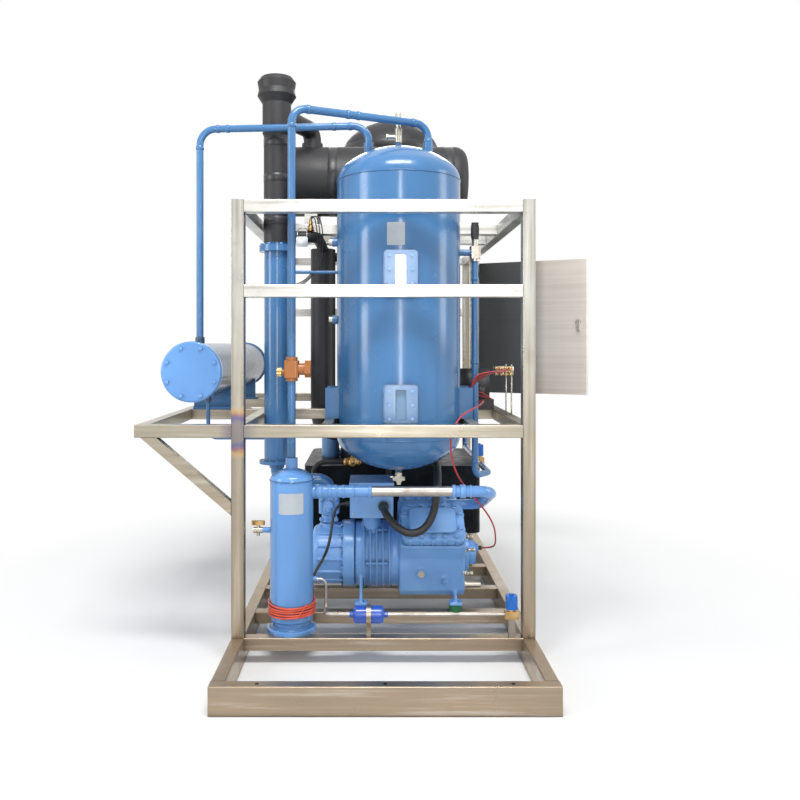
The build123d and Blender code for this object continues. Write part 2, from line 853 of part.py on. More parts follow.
def cutter():
    place = Pos(evaporator_x, evaporator_y, 0)
    height = evaporator_bottom - tank_top
    ring = Cylinder(cutter_r, height) - Cylinder(cutter_r - cutter_wall, height)
    ring = Pos(0, 0, tank_top + height / 2) * ring
    half = chute_w / 2 - chute_wall
    ring -= block(-half, half, 0, cutter_r, chute_low + chute_wall, chute_low + chute_h - chute_wall)
    ring -= rod("x", -cutter_r, 0, drive_r + seat, z=drive_z)
    add("cutter_housing", place * ring)
    top = tank_top + gearbox_h
    gearbox = rod("z", tank_top, top, gearbox_r)
    gearbox += rod("z", top, cutter_disc_z + cutter_disc_t + 6, drive_r)
    add("cutter_drive", place * gearbox)
    disc = rod("z", cutter_disc_z, cutter_disc_z + cutter_disc_t, cutter_disc_r)
    disc += rod("z", top, cutter_disc_z, drive_r + 14)
    for k in range(cutter_windows):
        turn = Rot(0, 0, 360 * k / cutter_windows)
        window = Box(cutter_window_len, cutter_window_w, cutter_disc_t)
        window = Pos(cutter_window_mid, 0, cutter_disc_z + cutter_disc_t / 2) * window
        disc -= turn * window
        blade_z = cutter_disc_z + cutter_disc_t + cutter_blade_h / 2
        blade = Pos(cutter_window_mid, cutter_blade_off, blade_z) * Rot(cutter_blade_tilt, 0, 0)
        disc += turn * blade * Box(cutter_blade_len, cutter_blade_t, cutter_blade_h)
    disc -= rod("z", top, cutter_disc_z + cutter_disc_t, drive_r + fit)
    add("cutter_disc", place * disc)
    motor_x = -cutter_r - gear_motor_r - 10
    motor = rod("z", tank_top, tank_top + gear_motor_h, gear_motor_r, motor_x)
    motor += rod("z", tank_top + gear_motor_h, tank_top + gear_motor_h + 20, gear_motor_r - 8,
                 motor_x)
    motor += rod("x", motor_x, -gearbox_r - seat, drive_r, z=drive_z)
    add("cutter_drive", place * motor)


def water_tank():
    place = Pos(evaporator_x, evaporator_y, 0)
    half_x = tank_w / 2
    half_y = tank_d / 2
    body = block(-half_x, half_x, -half_y, half_y, tank_bottom, tank_top)
    add("water_tank", place * rounded(body, Axis.Z, tank_corner))
    legs = []
    half = leg_tube / 2
    for x in (leg_inset - half_x, half_x - leg_inset):
        for y in (leg_inset - half_y, half_y - leg_inset):
            legs.append(place * tube_along(Axis.Z, x - half, x + half, y - half, y + half,
                                           base_h, tank_bottom))
    add("tank_legs", *legs)
    y0 = cutter_r
    y1 = y0 + chute_len
    low = chute_low
    high = chute_low + chute_h
    wall = chute_wall
    near = math.sqrt(cutter_r ** 2 - (chute_w / 2) ** 2)
    outer = Polyline((near, low), (near, high), (y1, high - chute_drop), (y1, low - chute_drop),
                     close=True)
    tube_face = make_face(outer)
    inner = Polyline((0, low + wall), (0, high - wall), (near, high - wall),
                     (y1 + 1, high - wall - chute_drop), (y1 + 1, low + wall - chute_drop),
                     (near, low + wall), close=True)
    chute = extrude(Plane.YZ * tube_face, amount=chute_w / 2, both=True)
    chute -= extrude(Plane.YZ * make_face(inner), amount=chute_w / 2 - wall, both=True)
    chute -= rod("z", low - 50, high + 50, cutter_r + seat)
    add("ice_chute", place * chute)


def water_pump():
    y = pump_y
    body = rod("z", base_h, base_h + pump_h, pump_r, pump_x, y)
    body += rod("z", base_h + pump_h, base_h + pump_h + pump_motor_h, pump_r - pump_motor_step,
                pump_x, y)
    z0 = base_h + pump_port_z
    y0 = y - pump_r - pump_port
    body += rod("y", y0, y, pump_port_r, x=pump_x, z=z0)
    add("water_pump", body)
    rise_y = water_pipe_y
    ex = evaporator_x
    side_x = ex - chute_w / 2 - water_pipe_side
    end_y = evaporator_y + evaporator_r + evaporator_boss
    points = [(pump_x, y0, z0), (pump_x, rise_y, z0), (pump_x, rise_y, water_pipe_low),
              (side_x, rise_y, water_pipe_low), (side_x, rise_y, water_pipe_z),
              (ex, rise_y, water_pipe_z), (ex, end_y, water_pipe_z)]
    add("water_pump", bent_pipe(points, water_pipe_d, [pump_bend] + [water_pipe_bend] * 4))


# Compressor

def bank_point(side, out, along):
    """A point on a cylinder bank, out from the shaft and along the head face."""
    y = side * math.sqrt(0.5) * (out - along)
    z = comp_z + math.sqrt(0.5) * (out + along)
    return y, z


def foot_web(x, top, side):
    """A tapered web from the casing down to one foot."""
    low = base_h + pad_h
    out = side * (foot_reach + foot_w / 2)
    outline = Polyline((0, low), (out, low), (out, low + foot_t), (side * 70, top), (0, top),
                       close=True)
    web = extrude(Plane.YZ * make_face(outline), amount=foot_t / 2, both=True)
    plate = block(-foot_w / 2, foot_w / 2, side * (foot_reach - foot_w / 2), out, low, low + foot_t)
    return Pos(x, 0, 0) * (web + plate)


def compressor():
    right = [(sump_half, sump_z), (case_half, sump_z + sump_slope), (case_half, comp_z + case_rise),
             bank_point(1, bank_out, -bank_half), bank_point(1, bank_out, bank_half),
             (valley_half, valley_top)]
    left = [(-y, z) for y, z in reversed(right)]
    face = Plane.YZ * make_face(Polyline(*(right + left), close=True))
    body = Pos(case_left, 0, 0) * extrude(face, amount=case_right - case_left)
    body += rod("x", motor_left, case_left, motor_r, z=comp_z)
    pitch = (case_left - motor_left) / (motor_ribs + 2)
    for k in range(motor_ribs):
        x = motor_left + pitch * (k + 1.5)
        body += rod("x", x - motor_rib_t / 2, x + motor_rib_t / 2, motor_r + motor_rib_h, z=comp_z)
    for side in (-1, 1):
        body += foot_web(foot_left_x, comp_z, side)
        body += foot_web(foot_right_x, comp_z - 60, side)
    body += rod("z", comp_z, term_low, term_post_r, term_mid_x, term_mid_y - comp_y)
    for x, z, r in ((sight_x, sight_z, 19), (plug_x, plug_z, 14)):
        body += rod("y", -case_half - 8, 0, r, x=x, z=z)
    add("compressor_crankcase", Pos(0, comp_y, 0) * body)
    add("sight_glasses", rod("y", comp_y - case_half - 11, comp_y - case_half - 8, 14,
                             x=sight_x, z=sight_z))


def compressor_bell():
    x0 = motor_left - flange_len
    bell = rod("x", x0 - bell_len, x0, bell_r)
    rim = bell.edges().filter_by(GeomType.CIRCLE).sort_by(Axis.X)[0]
    bell = fillet(rim, bell_round) + rod("x", x0, motor_left, motor_r + 6)
    for k in range(bell_fins):
        fin = block(x0 - bell_len + bell_round, x0, -bell_fin_t / 2, bell_fin_t / 2, bell_r - 8,
                    bell_r + bell_fin_h)
        bell += Rot(360 * (k + 0.5) / bell_fins, 0, 0) * fin
    bell += rod("z", 0, suction_valve_low - comp_z, 42, suction_valve_x)
    add("compressor_end_bell", Pos(0, comp_y, comp_z) * bell)


def head_bolt_places(length, width):
    places = []
    columns = 5
    for k in range(columns):
        x = (k / (columns - 1) - 0.5) * (length - 70)
        places += [(x, width / 2 - 14), (x, 14 - width / 2)]
    for side in (-1, 1):
        for row in (-0.2, 0.2):
            places.append((side * (length / 2 - 14), row * width))
    return places


def compressor_heads():
    length = case_right - case_left - 2 * head_margin
    width = 2 * (bank_half - head_margin)
    bolts = []
    for side in (-1, 1):
        plate = rounded(Box(length, width, head_t), Axis.Z, 30)
        crown = rounded(Box(length - 66, width - 62, head_crown), Axis.Z, 24)
        head = plate + Pos(0, 0, (head_t + head_crown) / 2) * crown
        y, z = bank_point(side, bank_out + head_t / 2, 0)
        place = Pos((case_left + case_right) / 2, comp_y + y, z) * Rot(-45 * side, 0, 0)
        add("cylinder_heads", place * head)
        for bx, by in head_bolt_places(length, width):
            bolts.append(place * Pos(bx, by, head_t / 2) * hex_head(head_bolt_r, head_bolt_h))
    add("bolt_heads", *bolts)


def compressor_fittings():
    x = case_right
    pump = rod("x", x, x + 26, pump_cover_r) + rod("x", x, x + 60, oil_pump_r)
    pump += rod("x", x, x + 74, 20, z=20)
    add("oil_pump_cover", Pos(0, comp_y, comp_z) * pump)
    y0, y1 = front_y + term_front, front_y + term_back
    box = block(term_left, term_right, y0, y1, term_low, term_high)
    add("terminal_box", rounded(box, Axis.Z, 6))
    lid = block(term_left - 3, term_right + 3, y0 - 3, y1 + 3, term_high, term_high + lid_t)
    add("terminal_box", rounded(lid, Axis.Z, 8))
    half = suction_valve_w / 2
    low, high = suction_valve_low, suction_valve_high
    body = rod("z", low, low + 44, 34)
    body += rounded(block(-half, half, -half, half, low + 44, high - 12), Axis.Z, 10)
    body += rod("y", -half - 26, 0, 20, z=(low + high) / 2 + 20)
    body += rod("z", high - 12, high, suction_d / 2 + 8)
    add("service_valves", Pos(suction_valve_x, comp_y, 0) * body)
    collar_x = valve_right - 14
    valve = block(valve_left, collar_x, -valve_half, valve_half, valley_top, valley_top + valve_h)
    valve += rod("x", collar_x, valve_right, discharge_d / 2 + 6, z=valve_z)
    valve += rod("z", valley_top, valley_top + valve_h + 22, 18, (valve_left + collar_x) / 2)
    add("service_valves", Pos(0, comp_y, 0) * valve)
    pads = []
    bolts = []
    for fx in (foot_left_x, foot_right_x):
        for side in (-1, 1):
            y = comp_y + side * foot_reach
            pads.append(rod("z", base_h, base_h + pad_h, pad_r, fx, y))
            place = Pos(fx + 18, y + side * 14, base_h + pad_h + foot_t)
            bolts.append(place * hex_head(9, 9))
    add("compressor_pads", *pads)
    add("bolt_heads", *bolts)


# Condenser

def condenser():
    y0 = front_y + cond_front
    y1 = y0 + cond_len
    shell = rod("y", y0 + cond_cover_t, y1 - cond_cover_t, cond_r, x=cond_x, z=cond_z)
    shell += rod("z", cond_z, cond_z + cond_r + cond_nozzle_h, vapour_d / 2 + 5,
                 cond_nozzle_x, cond_nozzle_y)
    shell += rod("z", cond_z - cond_r - 20, cond_z, drain_d / 2 + 5, drain_x,
                 front_y + drain_depth)
    add("condenser_shell", shell)
    for start, outer in ((y0, 0), (y1 - cond_cover_t, -1)):
        cover = rod("y", start, start + cond_cover_t, cond_cover_r, x=cond_x, z=cond_z)
        rim = cover.edges().filter_by(GeomType.CIRCLE).sort_by(Axis.Y)[outer]
        add("condenser_covers", fillet(rim, 10))
    bolts = []
    for k in range(cond_bolts):
        bx, bz = around(k, cond_bolts, cond_cover_r - 22, 22.5)
        bolts.append(Pos(cond_x + bx, y0, cond_z + bz) * Rot(90, 0, 0) * hex_head(8, 8))
    add("bolt_heads", *bolts)
    saddles = []
    half = cond_saddle_w / 2
    for depth in (cradle_front, cradle_front + cradle_pitch):
        y = front_y + depth
        foot = block(cond_x - half + 28, cond_x + half, y, y + tube, mid_top,
                     mid_top + cond_saddle_t)
        web = block(cond_x - half + 28, cond_x + half - 15, y + (tube - cond_saddle_t) / 2,
                    y + (tube + cond_saddle_t) / 2, mid_top, cond_z - cond_r * 0.5)
        bore = rod("y", y - tube, y + 2 * tube, cond_r + seat, x=cond_x, z=cond_z)
        saddles.append(foot + web - bore)
    add("brackets", *saddles)


def condenser_pipes():
    tx = receiver_x - top_nozzle_off
    points = [(cond_nozzle_x, cond_nozzle_y, cond_z + cond_r + cond_nozzle_h),
              (cond_nozzle_x, cond_nozzle_y, vapour_z), (tx, receiver_y, vapour_z),
              (tx, receiver_y, nozzle_top)]
    add("gas_pipes", bent_pipe(points, vapour_d, vapour_bend))
    y = front_y + drain_depth
    points = [(drain_x, y, cond_z - cond_r - 20), (drain_x, y, drain_z),
              (-inner_x + 60, y, drain_z), (-inner_x + 60, y, drain_z - 80)]
    add("thin_lines", bent_pipe(points, drain_d, drain_bend))


# Liquid line

def liquid_line():
    x, y, z = liquid_x, receiver_y, liquid_nozzle_z
    half = ball_valve_w / 2
    tall = ball_valve_h / 2
    body = rounded(block(-half, half, -half, half, -tall, tall), Axis.Z, 8)
    body += rod("z", -tall - 12, -tall, liquid_d / 2 + 5) + rod("z", tall, tall + 30, 13)
    body += rod("z", tall + 30, tall + 30 + stem_len, stem_r)
    body += rod("y", -half - 8, 0, 14)
    place = Pos(x, y, z)
    add("ball_valve", place * body)
    grip = loft([Ellipse(15, 13), Pos(0, 0, 34) * Ellipse(18, 9), Pos(0, 0, 74) * Ellipse(15, 7)])
    grip -= rod("z", 0, stem_len + fit, stem_r + fit)
    add("ball_valve_handle", place * Pos(0, 0, tall + 30) * grip)
    back = liquid_back_x
    high = evaporator_bottom + 60
    points = [(x, y, z - tall - 12), (x, y, liquid_low_z), (back, y + 90, liquid_low_z),
              (back, evaporator_y, liquid_low_z), (back, evaporator_y, high),
              (evaporator_x + evaporator_r + 34, evaporator_y, high)]
    add("liquid_pipe", bent_pipe(points, liquid_d, liquid_bend))
    sy = front_y + liquid_solenoid_depth
    valve = Box(brass_w, 66, brass_w) - rod("y", -40, 40, liquid_d / 2 + seat)
    valve += rod("z", brass_w / 2, brass_w / 2 + 8, 11)
    add("solenoid_valves", Pos(back, sy, liquid_low_z) * valve)
    coils = [coil(back, sy, liquid_low_z + brass_w / 2 + 8)]
    coils.append(coil(solenoid_x, drier_y, drier_z + 23))
    add("solenoid_coils", *coils)


def coil(x, y, z):
    body = block(-coil_w / 2, coil_w / 2, -coil_w / 2, coil_w / 2, 0, coil_h)
    return Pos(x, y, z) * (rounded(body, Axis.Z, 7) + rod("z", coil_h, coil_h + 6, 9))


def front_line():
    x0, x1 = drier_x - drier_len / 2, drier_x + drier_len / 2
    y, z = drier_y, drier_z
    body = rod("x", x0 + 16, x1 - 16, drier_r, y=y, z=z)
    body = fillet(body.edges().filter_by(GeomType.CIRCLE), 12) + rod("x", x0, x1, 12, y=y, z=z)
    add("filter_drier", body)
    band = rod("x", drier_x - 9, drier_x + 9, drier_r + 4, y=y, z=z)
    band += block(drier_x - 9, drier_x + 9, y - 12, y + 12, base_h, z)
    band -= rod("x", drier_x - 20, drier_x + 20, drier_r + seat, y=y, z=z)
    add("brackets", band)
    add("thin_lines", rod("x", x1, solenoid_x - 26, line_d / 2, y=y, z=z))
    end_x = separator_x + separator_r + separator_outlet
    points = [(x0, y, z), (line_left_x, y, z), (line_left_x, separator_y, z),
              (line_left_x, separator_y, oil_return_z), (end_x, separator_y, oil_return_z)]
    add("thin_lines", bent_pipe(points, line_d, line_bend))
    valve = block(-26, 26, -15, 15, -15, 15) + rod("z", 15, 23, 11)
    valve += block(-12, 12, -12, 12, base_h - z, 0)
    add("solenoid_valves", Pos(solenoid_x, y, z) * valve)


# Control cabinet
def cabinet():
    x0, x1 = half_w, half_w + cabinet_w
    y1 = cabinet_y + cabinet_d
    top = cabinet_low + cabinet_h
    skin = cabinet_skin
    body = block(x0, x1, cabinet_y, y1, cabinet_low, top)
    body -= block(x0 + skin, x1 - skin, cabinet_y - skin, y1 - skin, cabinet_low + skin, top - skin)
    for z in hinge_places():
        bracket = block(hinge_x, x0, cabinet_y, cabinet_y + hinge_depth, z - hinge_leaf, z)
        bracket += rod("z", z - hinge_leaf, z, hinge_r, hinge_x, hinge_y)
        body += bracket + rod("z", z, z + hinge_leaf - 4, hinge_pin_r, hinge_x, hinge_y)
    add("cabinet_body", body)
    add("cabinet_back_plate", block(x0 + 40, x1 - 40, y1 - skin - 6, y1 - skin,
                                     cabinet_low + 40, top - 40))
    posts = []
    for depth in (post_inset, cabinet_d - post_inset - post_tube):
        y = cabinet_y + depth
        posts.append(tube_along(Axis.Z, x0 - post_tube, x0, y, y + post_tube,
                                mid_top, frame_h - tube))
    add("frame_rails", *posts)
    trunk_y = front_y + mid_rail_depth + tube
    trunk = block(trunk_left, trunk_right - seat, trunk_y - trunk_d, trunk_y,
                  mid_top, mid_top + tube)
    add("cable_trunk", trunk)


def hinge_places():
    top = cabinet_low + cabinet_h
    return (cabinet_low + hinge_inset, top - hinge_inset)


def cabinet_door():
    """The door is drawn closed about its hinge, then swung ajar."""
    left = hinge_off
    right = hinge_off + cabinet_w
    low, top = cabinet_low, cabinet_low + cabinet_h
    skin = cabinet_skin
    door = rounded(block(left, right, -door_t, 0, low, top), Axis.Z, 6)
    door -= block(left + skin, right - skin, skin - door_t, 1, low + skin, top - skin)
    for z in hinge_places():
        leaf = block(0, left + 30, -hinge_r, skin - hinge_r, z + seat, z + hinge_leaf)
        knuckle = rod("z", z + seat, z + hinge_leaf, hinge_r)
        door += leaf + knuckle - rod("z", z, z + hinge_leaf - 4 + fit, hinge_pin_r + fit)
    lock_x = right - lock_inset
    z = low + lock_z
    door -= rod("y", -2 * door_t, 1, lock_r + fit, x=lock_x, z=z)
    swing = Pos(hinge_x, hinge_y, 0) * Rot(0, 0, -door_open)
    add("cabinet_door", swing * door)
    face = -door_t
    lock = rod("y", face - 7, face, lock_r + 6, x=lock_x, z=z)
    lock += rod("y", face, face + 14, lock_r, x=lock_x, z=z)
    lock += rounded(block(lock_x - 9, lock_x + 9, face - 17, face - 7, z - 52, z + 12), Axis.Y, 8)
    add("cabinet_lock", swing * lock)


# Cables, each route a list of places (x, depth, z) chosen by hand

conduit_route = [
    (6, 324, 542), (6, 262, 542), (26, 204, 518), (66, 174, 482), (118, 168, 462),
    (172, 174, 482), (208, 190, 536), (224, 216, 606), (232, 264, 662), (238, 342, 690),
    (244, 432, 699), (249, 532, 706), (253, 634, 733), (255, 718, 784), (255, 763, 842),
    (255, 763, 905)]
heater_lead_route = [
    (-159, 385, 545), (-184, 385, 545), (-206, 366, 516), (-214, 336, 474), (-220, 302, 424),
    (-230, 262, 380), (-250, 220, 342), (-276, 184, 306), (-290.7, 164.4, 272),
    (-290.7, 164.4, 243)]
red_cable_route = [
    (420, 713, 950), (420, 664, 950), (432, 596, 966), (444, 512, 982), (446, 420, 992),
    (432, 330, 990), (400, 244, 980), (354, 168, 968), (308, 112, 946), (276, 80, 898),
    (266, 76, 836), (276, 92, 770), (300, 120, 708), (340, 148, 650), (388, 168, 596),
    (432, 190, 540), (462, 236, 486), (480, 302, 436), (492, 376, 390), (500, 440, 352),
    (492, 486, 330), (462, 497, 325), (448, 497, 325)]


def corner_radii(points):
    """As large a bend at each inner point as the runs beside it allow."""
    places = [Vector(*point) for point in points]
    radii = []
    for before, here, after in zip(places, places[1:], places[2:]):
        run = min((here - before).length, (after - here).length)
        turn = (here - before).get_angle(after - here)
        radii.append(0.45 * run / math.tan(math.radians(turn) / 2))
    return radii


def cable(name, d, route):
    points = [(x, front_y + depth, z) for x, depth, z in route]
    radii = corner_radii(points)
    print(name, "radii", [round(r) for r in radii])
    add(name, bent_pipe(points, d, radii))


def cables():
    cable("power_conduit", conduit_d, conduit_route)
    cable("heater_lead", heater_lead_d, heater_lead_route)
    cable("red_cable", red_cable_d, red_cable_route)
    x, depth, z = conduit_route[0]
    add("cable_glands", rod("y", front_y + depth, front_y + term_front, conduit_d / 2 + 6, x=x, z=z))
    x, depth, z = conduit_route[-1]
    add("cable_glands", rod("z", z, mid_top, conduit_d / 2 + 6, x, front_y + depth))
    x, depth, z = heater_lead_route[0]
    add("cable_glands", rod("x", x, term_left, heater_lead_d / 2 + 4, y=front_y + depth, z=z))
    x, depth, z = heater_lead_route[-1]
    add("cable_glands", rod("z", heater_z + heater_h, z, heater_lead_d / 2 + 3, x, front_y + depth))
    x, depth, z = red_cable_route[0]
    trunk_front = mid_rail_depth + tube - trunk_d
    add("cable_glands", rod("y", front_y + depth, front_y + trunk_front, red_cable_d / 2 + 5,
                            x=x, z=z))
    x, depth, z = red_cable_route[-1]
    add("cable_glands", rod("x", case_right + 74, x, red_cable_d / 2 + 6, y=front_y + depth, z=z))


base_frame()
cage()
bearers()
shelf()
receiver()
receiver_gauges()
receiver_fittings()
separator()
hot_gas_pipes()
discharge_pipes()
suction_column()
suction_pipes()
drum()
evaporator()
cutter()
water_tank()
water_pump()
compressor()
compressor_bell()
compressor_heads()
compressor_fittings()
condenser()
condenser_pipes()
liquid_line()
front_line()
cabinet()
cabinet_door()
cables()
write_nodes()
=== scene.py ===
import math
import bmesh
import bpy
from mathutils import Matrix, Vector


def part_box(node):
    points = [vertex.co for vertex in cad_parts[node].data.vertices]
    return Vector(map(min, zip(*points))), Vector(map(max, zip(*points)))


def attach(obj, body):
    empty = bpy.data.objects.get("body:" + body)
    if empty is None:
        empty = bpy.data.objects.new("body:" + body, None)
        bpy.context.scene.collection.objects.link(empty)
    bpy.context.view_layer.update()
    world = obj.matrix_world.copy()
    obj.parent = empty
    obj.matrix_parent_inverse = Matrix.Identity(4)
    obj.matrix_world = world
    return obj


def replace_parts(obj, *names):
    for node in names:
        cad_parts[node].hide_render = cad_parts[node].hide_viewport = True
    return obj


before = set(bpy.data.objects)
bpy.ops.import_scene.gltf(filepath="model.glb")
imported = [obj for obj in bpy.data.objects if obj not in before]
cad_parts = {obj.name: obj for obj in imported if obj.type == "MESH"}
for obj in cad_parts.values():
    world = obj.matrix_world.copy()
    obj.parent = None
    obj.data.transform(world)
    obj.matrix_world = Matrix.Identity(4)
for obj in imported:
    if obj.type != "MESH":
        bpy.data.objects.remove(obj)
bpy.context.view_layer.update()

scene = bpy.context.scene

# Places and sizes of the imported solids, in metres; a pair is (x, y)
FRONT_Y = -0.830
RECEIVER = (0.070, -0.475)
RECEIVER_R = 0.265
RECEIVER_SEAMS = (1.935, 0.850)
SEPARATOR = (-0.365, -0.728)
SEPARATOR_R = 0.086
SEPARATOR_SEAM = 0.698
SEPARATOR_FOOT_SEAM = 0.118
HEATER_LOW, HEATER_HIGH = 0.165, 0.225
COLUMN = (-0.469, -0.350)
RISER_R = 0.058
EVAPORATOR = (0.060, 0.496)
EVAPORATOR_R = 0.260
DRUM_Y, DRUM_Z, DRUM_R = -0.056, 2.023, 0.165
POST_MIDDLE = (0.565, -0.805)
SHELF_WELD = (-0.540, -0.780, 0.900)

# The compressor: its shaft line, casing, motor housing and heads
COMP_Y, COMP_Z = -0.333, 0.305
CASE_HALF = 0.150
CASE_RIGHT = 0.350
MOTOR_R = 0.139
BELL_FACE_X = -0.171
HEAD_X = 0.2145
HEAD_LEN, HEAD_WIDTH = 0.267, 0.184
HEAD_OUT = 0.230
SUCTION_VALVE_X, SUCTION_VALVE_FRONT = -0.235, -0.378

# The blue pipes: two cross over the machine, one stands at the right, one leaves the separator
HOT_D, HOT_Z, HOT_NOZZLE_X = 0.032, 2.185, 0.198
VAPOUR_D, VAPOUR_Z, VAPOUR_NOZZLE_X = 0.031, 2.180, -0.058
NOZZLE_R, NOZZLE_SEAM = 0.018, 2.068
CONDENSER_NOZZLE = (-0.798, -0.418)
LIQUID_PIPE = (0.400, -0.475)
LIQUID_D = 0.028
DISCHARGE_D, DISCHARGE_Z = 0.045, 0.650


# Camera: the photograph's pixel (372, 345) is the point straight ahead
PHOTO = 800
AHEAD_PX = (372, 345)
FOCAL_PX = 800
SENSOR_MM = 36
camera = bpy.data.objects.new("camera", bpy.data.cameras.new("camera"))
scene.collection.objects.link(camera)
scene.camera = camera
camera.location = (-0.044, -3.925, 1.235)
camera.rotation_euler = (math.radians(90), 0, 0)
camera.data.sensor_width = SENSOR_MM
camera.data.lens = SENSOR_MM * FOCAL_PX / PHOTO
camera.data.shift_x = (PHOTO / 2 - AHEAD_PX[0]) / PHOTO
camera.data.shift_y = (AHEAD_PX[1] - PHOTO / 2) / PHOTO


class Shader:
    """A small helper to build one material's node tree."""

    def __init__(self, name):
        self.material = bpy.data.materials.new(name)
        self.material.use_nodes = True
        self.tree = self.material.node_tree
        self.surface = self.tree.nodes["Principled BSDF"]
        self.place = self.node("ShaderNodeTexCoord").outputs["Object"]

    def node(self, kind, **settings):
        made = self.tree.nodes.new(kind)
        for key, value in settings.items():
            setattr(made, key, value)
        return made

    def link(self, value, socket):
        if hasattr(value, "is_output"):
            self.tree.links.new(value, socket)
        else:
            socket.default_value = value

    def set(self, **values):
        for key, value in values.items():
            self.link(value, self.surface.inputs[key.replace("_", " ")])
        return self

    def noise(self, scale, detail=3.0, stretch=(1, 1, 1), rough=0.5):
        mapping = self.node("ShaderNodeMapping")
        self.link(self.place, mapping.inputs["Vector"])
        mapping.inputs["Scale"].default_value = stretch
        made = self.node("ShaderNodeTexNoise")
        self.link(mapping.outputs["Vector"], made.inputs["Vector"])
        made.inputs["Scale"].default_value = scale
        made.inputs["Detail"].default_value = detail
        made.inputs["Roughness"].default_value = rough
        return made.outputs["Fac"]

    def ramp(self, value, *stops):
        made = self.node("ShaderNodeValToRGB")
        self.link(value, made.inputs["Fac"])
        ramp = made.color_ramp
        while len(ramp.elements) < len(stops):
            ramp.elements.new(0.5)
        for element, (at, colour) in zip(ramp.elements, stops):
            element.position = at
            element.color = (*colour, 1)
        return made.outputs["Color"]

    def math(self, operation, a, b=0.0):
        made = self.node("ShaderNodeMath", operation=operation)
        self.link(a, made.inputs[0])
        self.link(b, made.inputs[1])
        return made.outputs[0]

    def span(self, value, low, high, to_low=0.0, to_high=1.0):
        made = self.node("ShaderNodeMapRange")
        self.link(value, made.inputs["Value"])
        for key, number in (("From Min", low), ("From Max", high),
                            ("To Min", to_low), ("To Max", to_high)):
            made.inputs[key].default_value = number
        return made.outputs["Result"]

    def mix(self, factor, a, b):
        made = self.node("ShaderNodeMix", data_type="RGBA")
        self.link(factor, made.inputs["Factor"])
        for value, socket in ((a, made.inputs["A"]), (b, made.inputs["B"])):
            self.link(value if hasattr(value, "is_output") else (*value, 1), socket)
        return made.outputs["Result"]

    def axis(self, name):
        made = self.node("ShaderNodeSeparateXYZ")
        self.link(self.place, made.inputs[0])
        return made.outputs[name]

    def paint_crevice_shade(self, colour, reach=0.03, depth=0.65):
        """Painted shade: darken a colour in grooves and where pieces meet, as ambient occlusion
        finds them.
        """
        # The colour that the painted shade darkens towards.
        grime_and_shade = (0.012, 0.016, 0.022)
        made = self.node("ShaderNodeAmbientOcclusion", samples=6)
        made.inputs["Distance"].default_value = reach
        return self.mix(self.span(made.outputs["AO"], 0.25, 0.85, depth, 0.0), colour, grime_and_shade)

    def bump(self, height, strength=0.2, distance=0.001):
        made = self.node("ShaderNodeBump")
        self.link(height, made.inputs["Height"])
        made.inputs["Strength"].default_value = strength
        made.inputs["Distance"].default_value = distance
        self.link(made.outputs["Normal"], self.surface.inputs["Normal"])
        return self


# Materials

def gloss_paint(name, base, roughness):
    """Glossy paint whose tone drifts a little, with painted shade in the grooves."""
    s = Shader(name)
    drift = s.noise(2.2, 4, (1, 1, 0.5))
    dust = s.noise(9, 4)
    dark = tuple(c * 0.80 for c in base)
    light = tuple(min(1.0, c * 1.18 + 0.01) for c in base)
    colour = s.ramp(drift, (0.30, dark), (0.52, base), (0.75, light))
    colour = s.paint_crevice_shade(colour, 0.035, 0.55)
    s.set(Base_Color=colour, Roughness=s.span(dust, 0.3, 0.8, roughness - 0.04, roughness + 0.10))
    s.set(Coat_Weight=0.3, Coat_Roughness=0.10)
    return s.bump(s.noise(120, 1), 0.035, 0.0004).material


def cast_blue():
    """Blue paint on rough castings, in the paint's painted lit tone, with grime and painted shade
    in the grooves.
    """
    s = Shader("cast_blue")
    drift = s.noise(5, 5)
    colour = s.ramp(drift, (0.3, (0.15, 0.36, 0.70)), (0.55, (0.19, 0.42, 0.82)),
                    (0.8, (0.26, 0.50, 0.90)))
    grime_and_shade = s.noise(16, 6, rough=0.6)
    colour = s.mix(s.span(grime_and_shade, 0.62, 0.82, 0, 0.35), colour, (0.10, 0.15, 0.20))
    colour = s.paint_crevice_shade(colour, 0.022, 0.85)
    s.set(Base_Color=colour, Roughness=s.span(grime_and_shade, 0.3, 0.8, 0.26, 0.50))
    s.set(Coat_Weight=0.3, Coat_Roughness=0.18)
    return s.bump(s.noise(130, 4), 0.35, 0.0012).material


def shaded_edges(s, tone):
    """Shade the edges of the corner posts, by the distance from each post's middle."""
    post_x, post_y = POST_MIDDLE
    off_x = s.math("ABSOLUTE", s.math("SUBTRACT", s.math("ABSOLUTE", s.axis("X")), post_x))
    off_y = s.math("ABSOLUTE", s.math("SUBTRACT", s.axis("Y"), post_y))
    edge = s.math("MINIMUM", off_x, off_y)
    return s.mix(s.span(edge, 0.013, 0.024, 0.0, 0.55), tone, (0.24, 0.22, 0.18))


def weld_tint(s, tone):
    """The straw, purple and blue that heat left where the shelf meets the front left post."""
    weld_x, weld_y, weld_z = SHELF_WELD
    fade = 0.06
    wobble = s.math("MULTIPLY", s.math("SUBTRACT", s.noise(14, 2), 0.5), 0.06)
    off = s.math("ADD", s.math("ABSOLUTE", s.math("SUBTRACT", s.axis("Z"), weld_z)), wobble)
    tint = s.span(off, 0.110, 0.030)
    heat = s.ramp(tint, (0.05, (0.62, 0.50, 0.34)), (0.35, (0.60, 0.38, 0.14)),
                  (0.60, (0.30, 0.13, 0.20)), (0.80, (0.09, 0.10, 0.32)), (1.0, (0.22, 0.20, 0.22)))
    near = s.math("MULTIPLY", s.span(s.axis("X"), weld_x + fade, weld_x),
                  s.span(s.axis("Y"), weld_y + fade, weld_y))
    near = s.math("MULTIPLY", near, s.span(s.axis("X"), weld_x - 0.10, weld_x - fade))
    return s.mix(s.math("MULTIPLY", near, s.span(tint, 0.02, 0.35, 0.0, 0.75)), tone, heat)


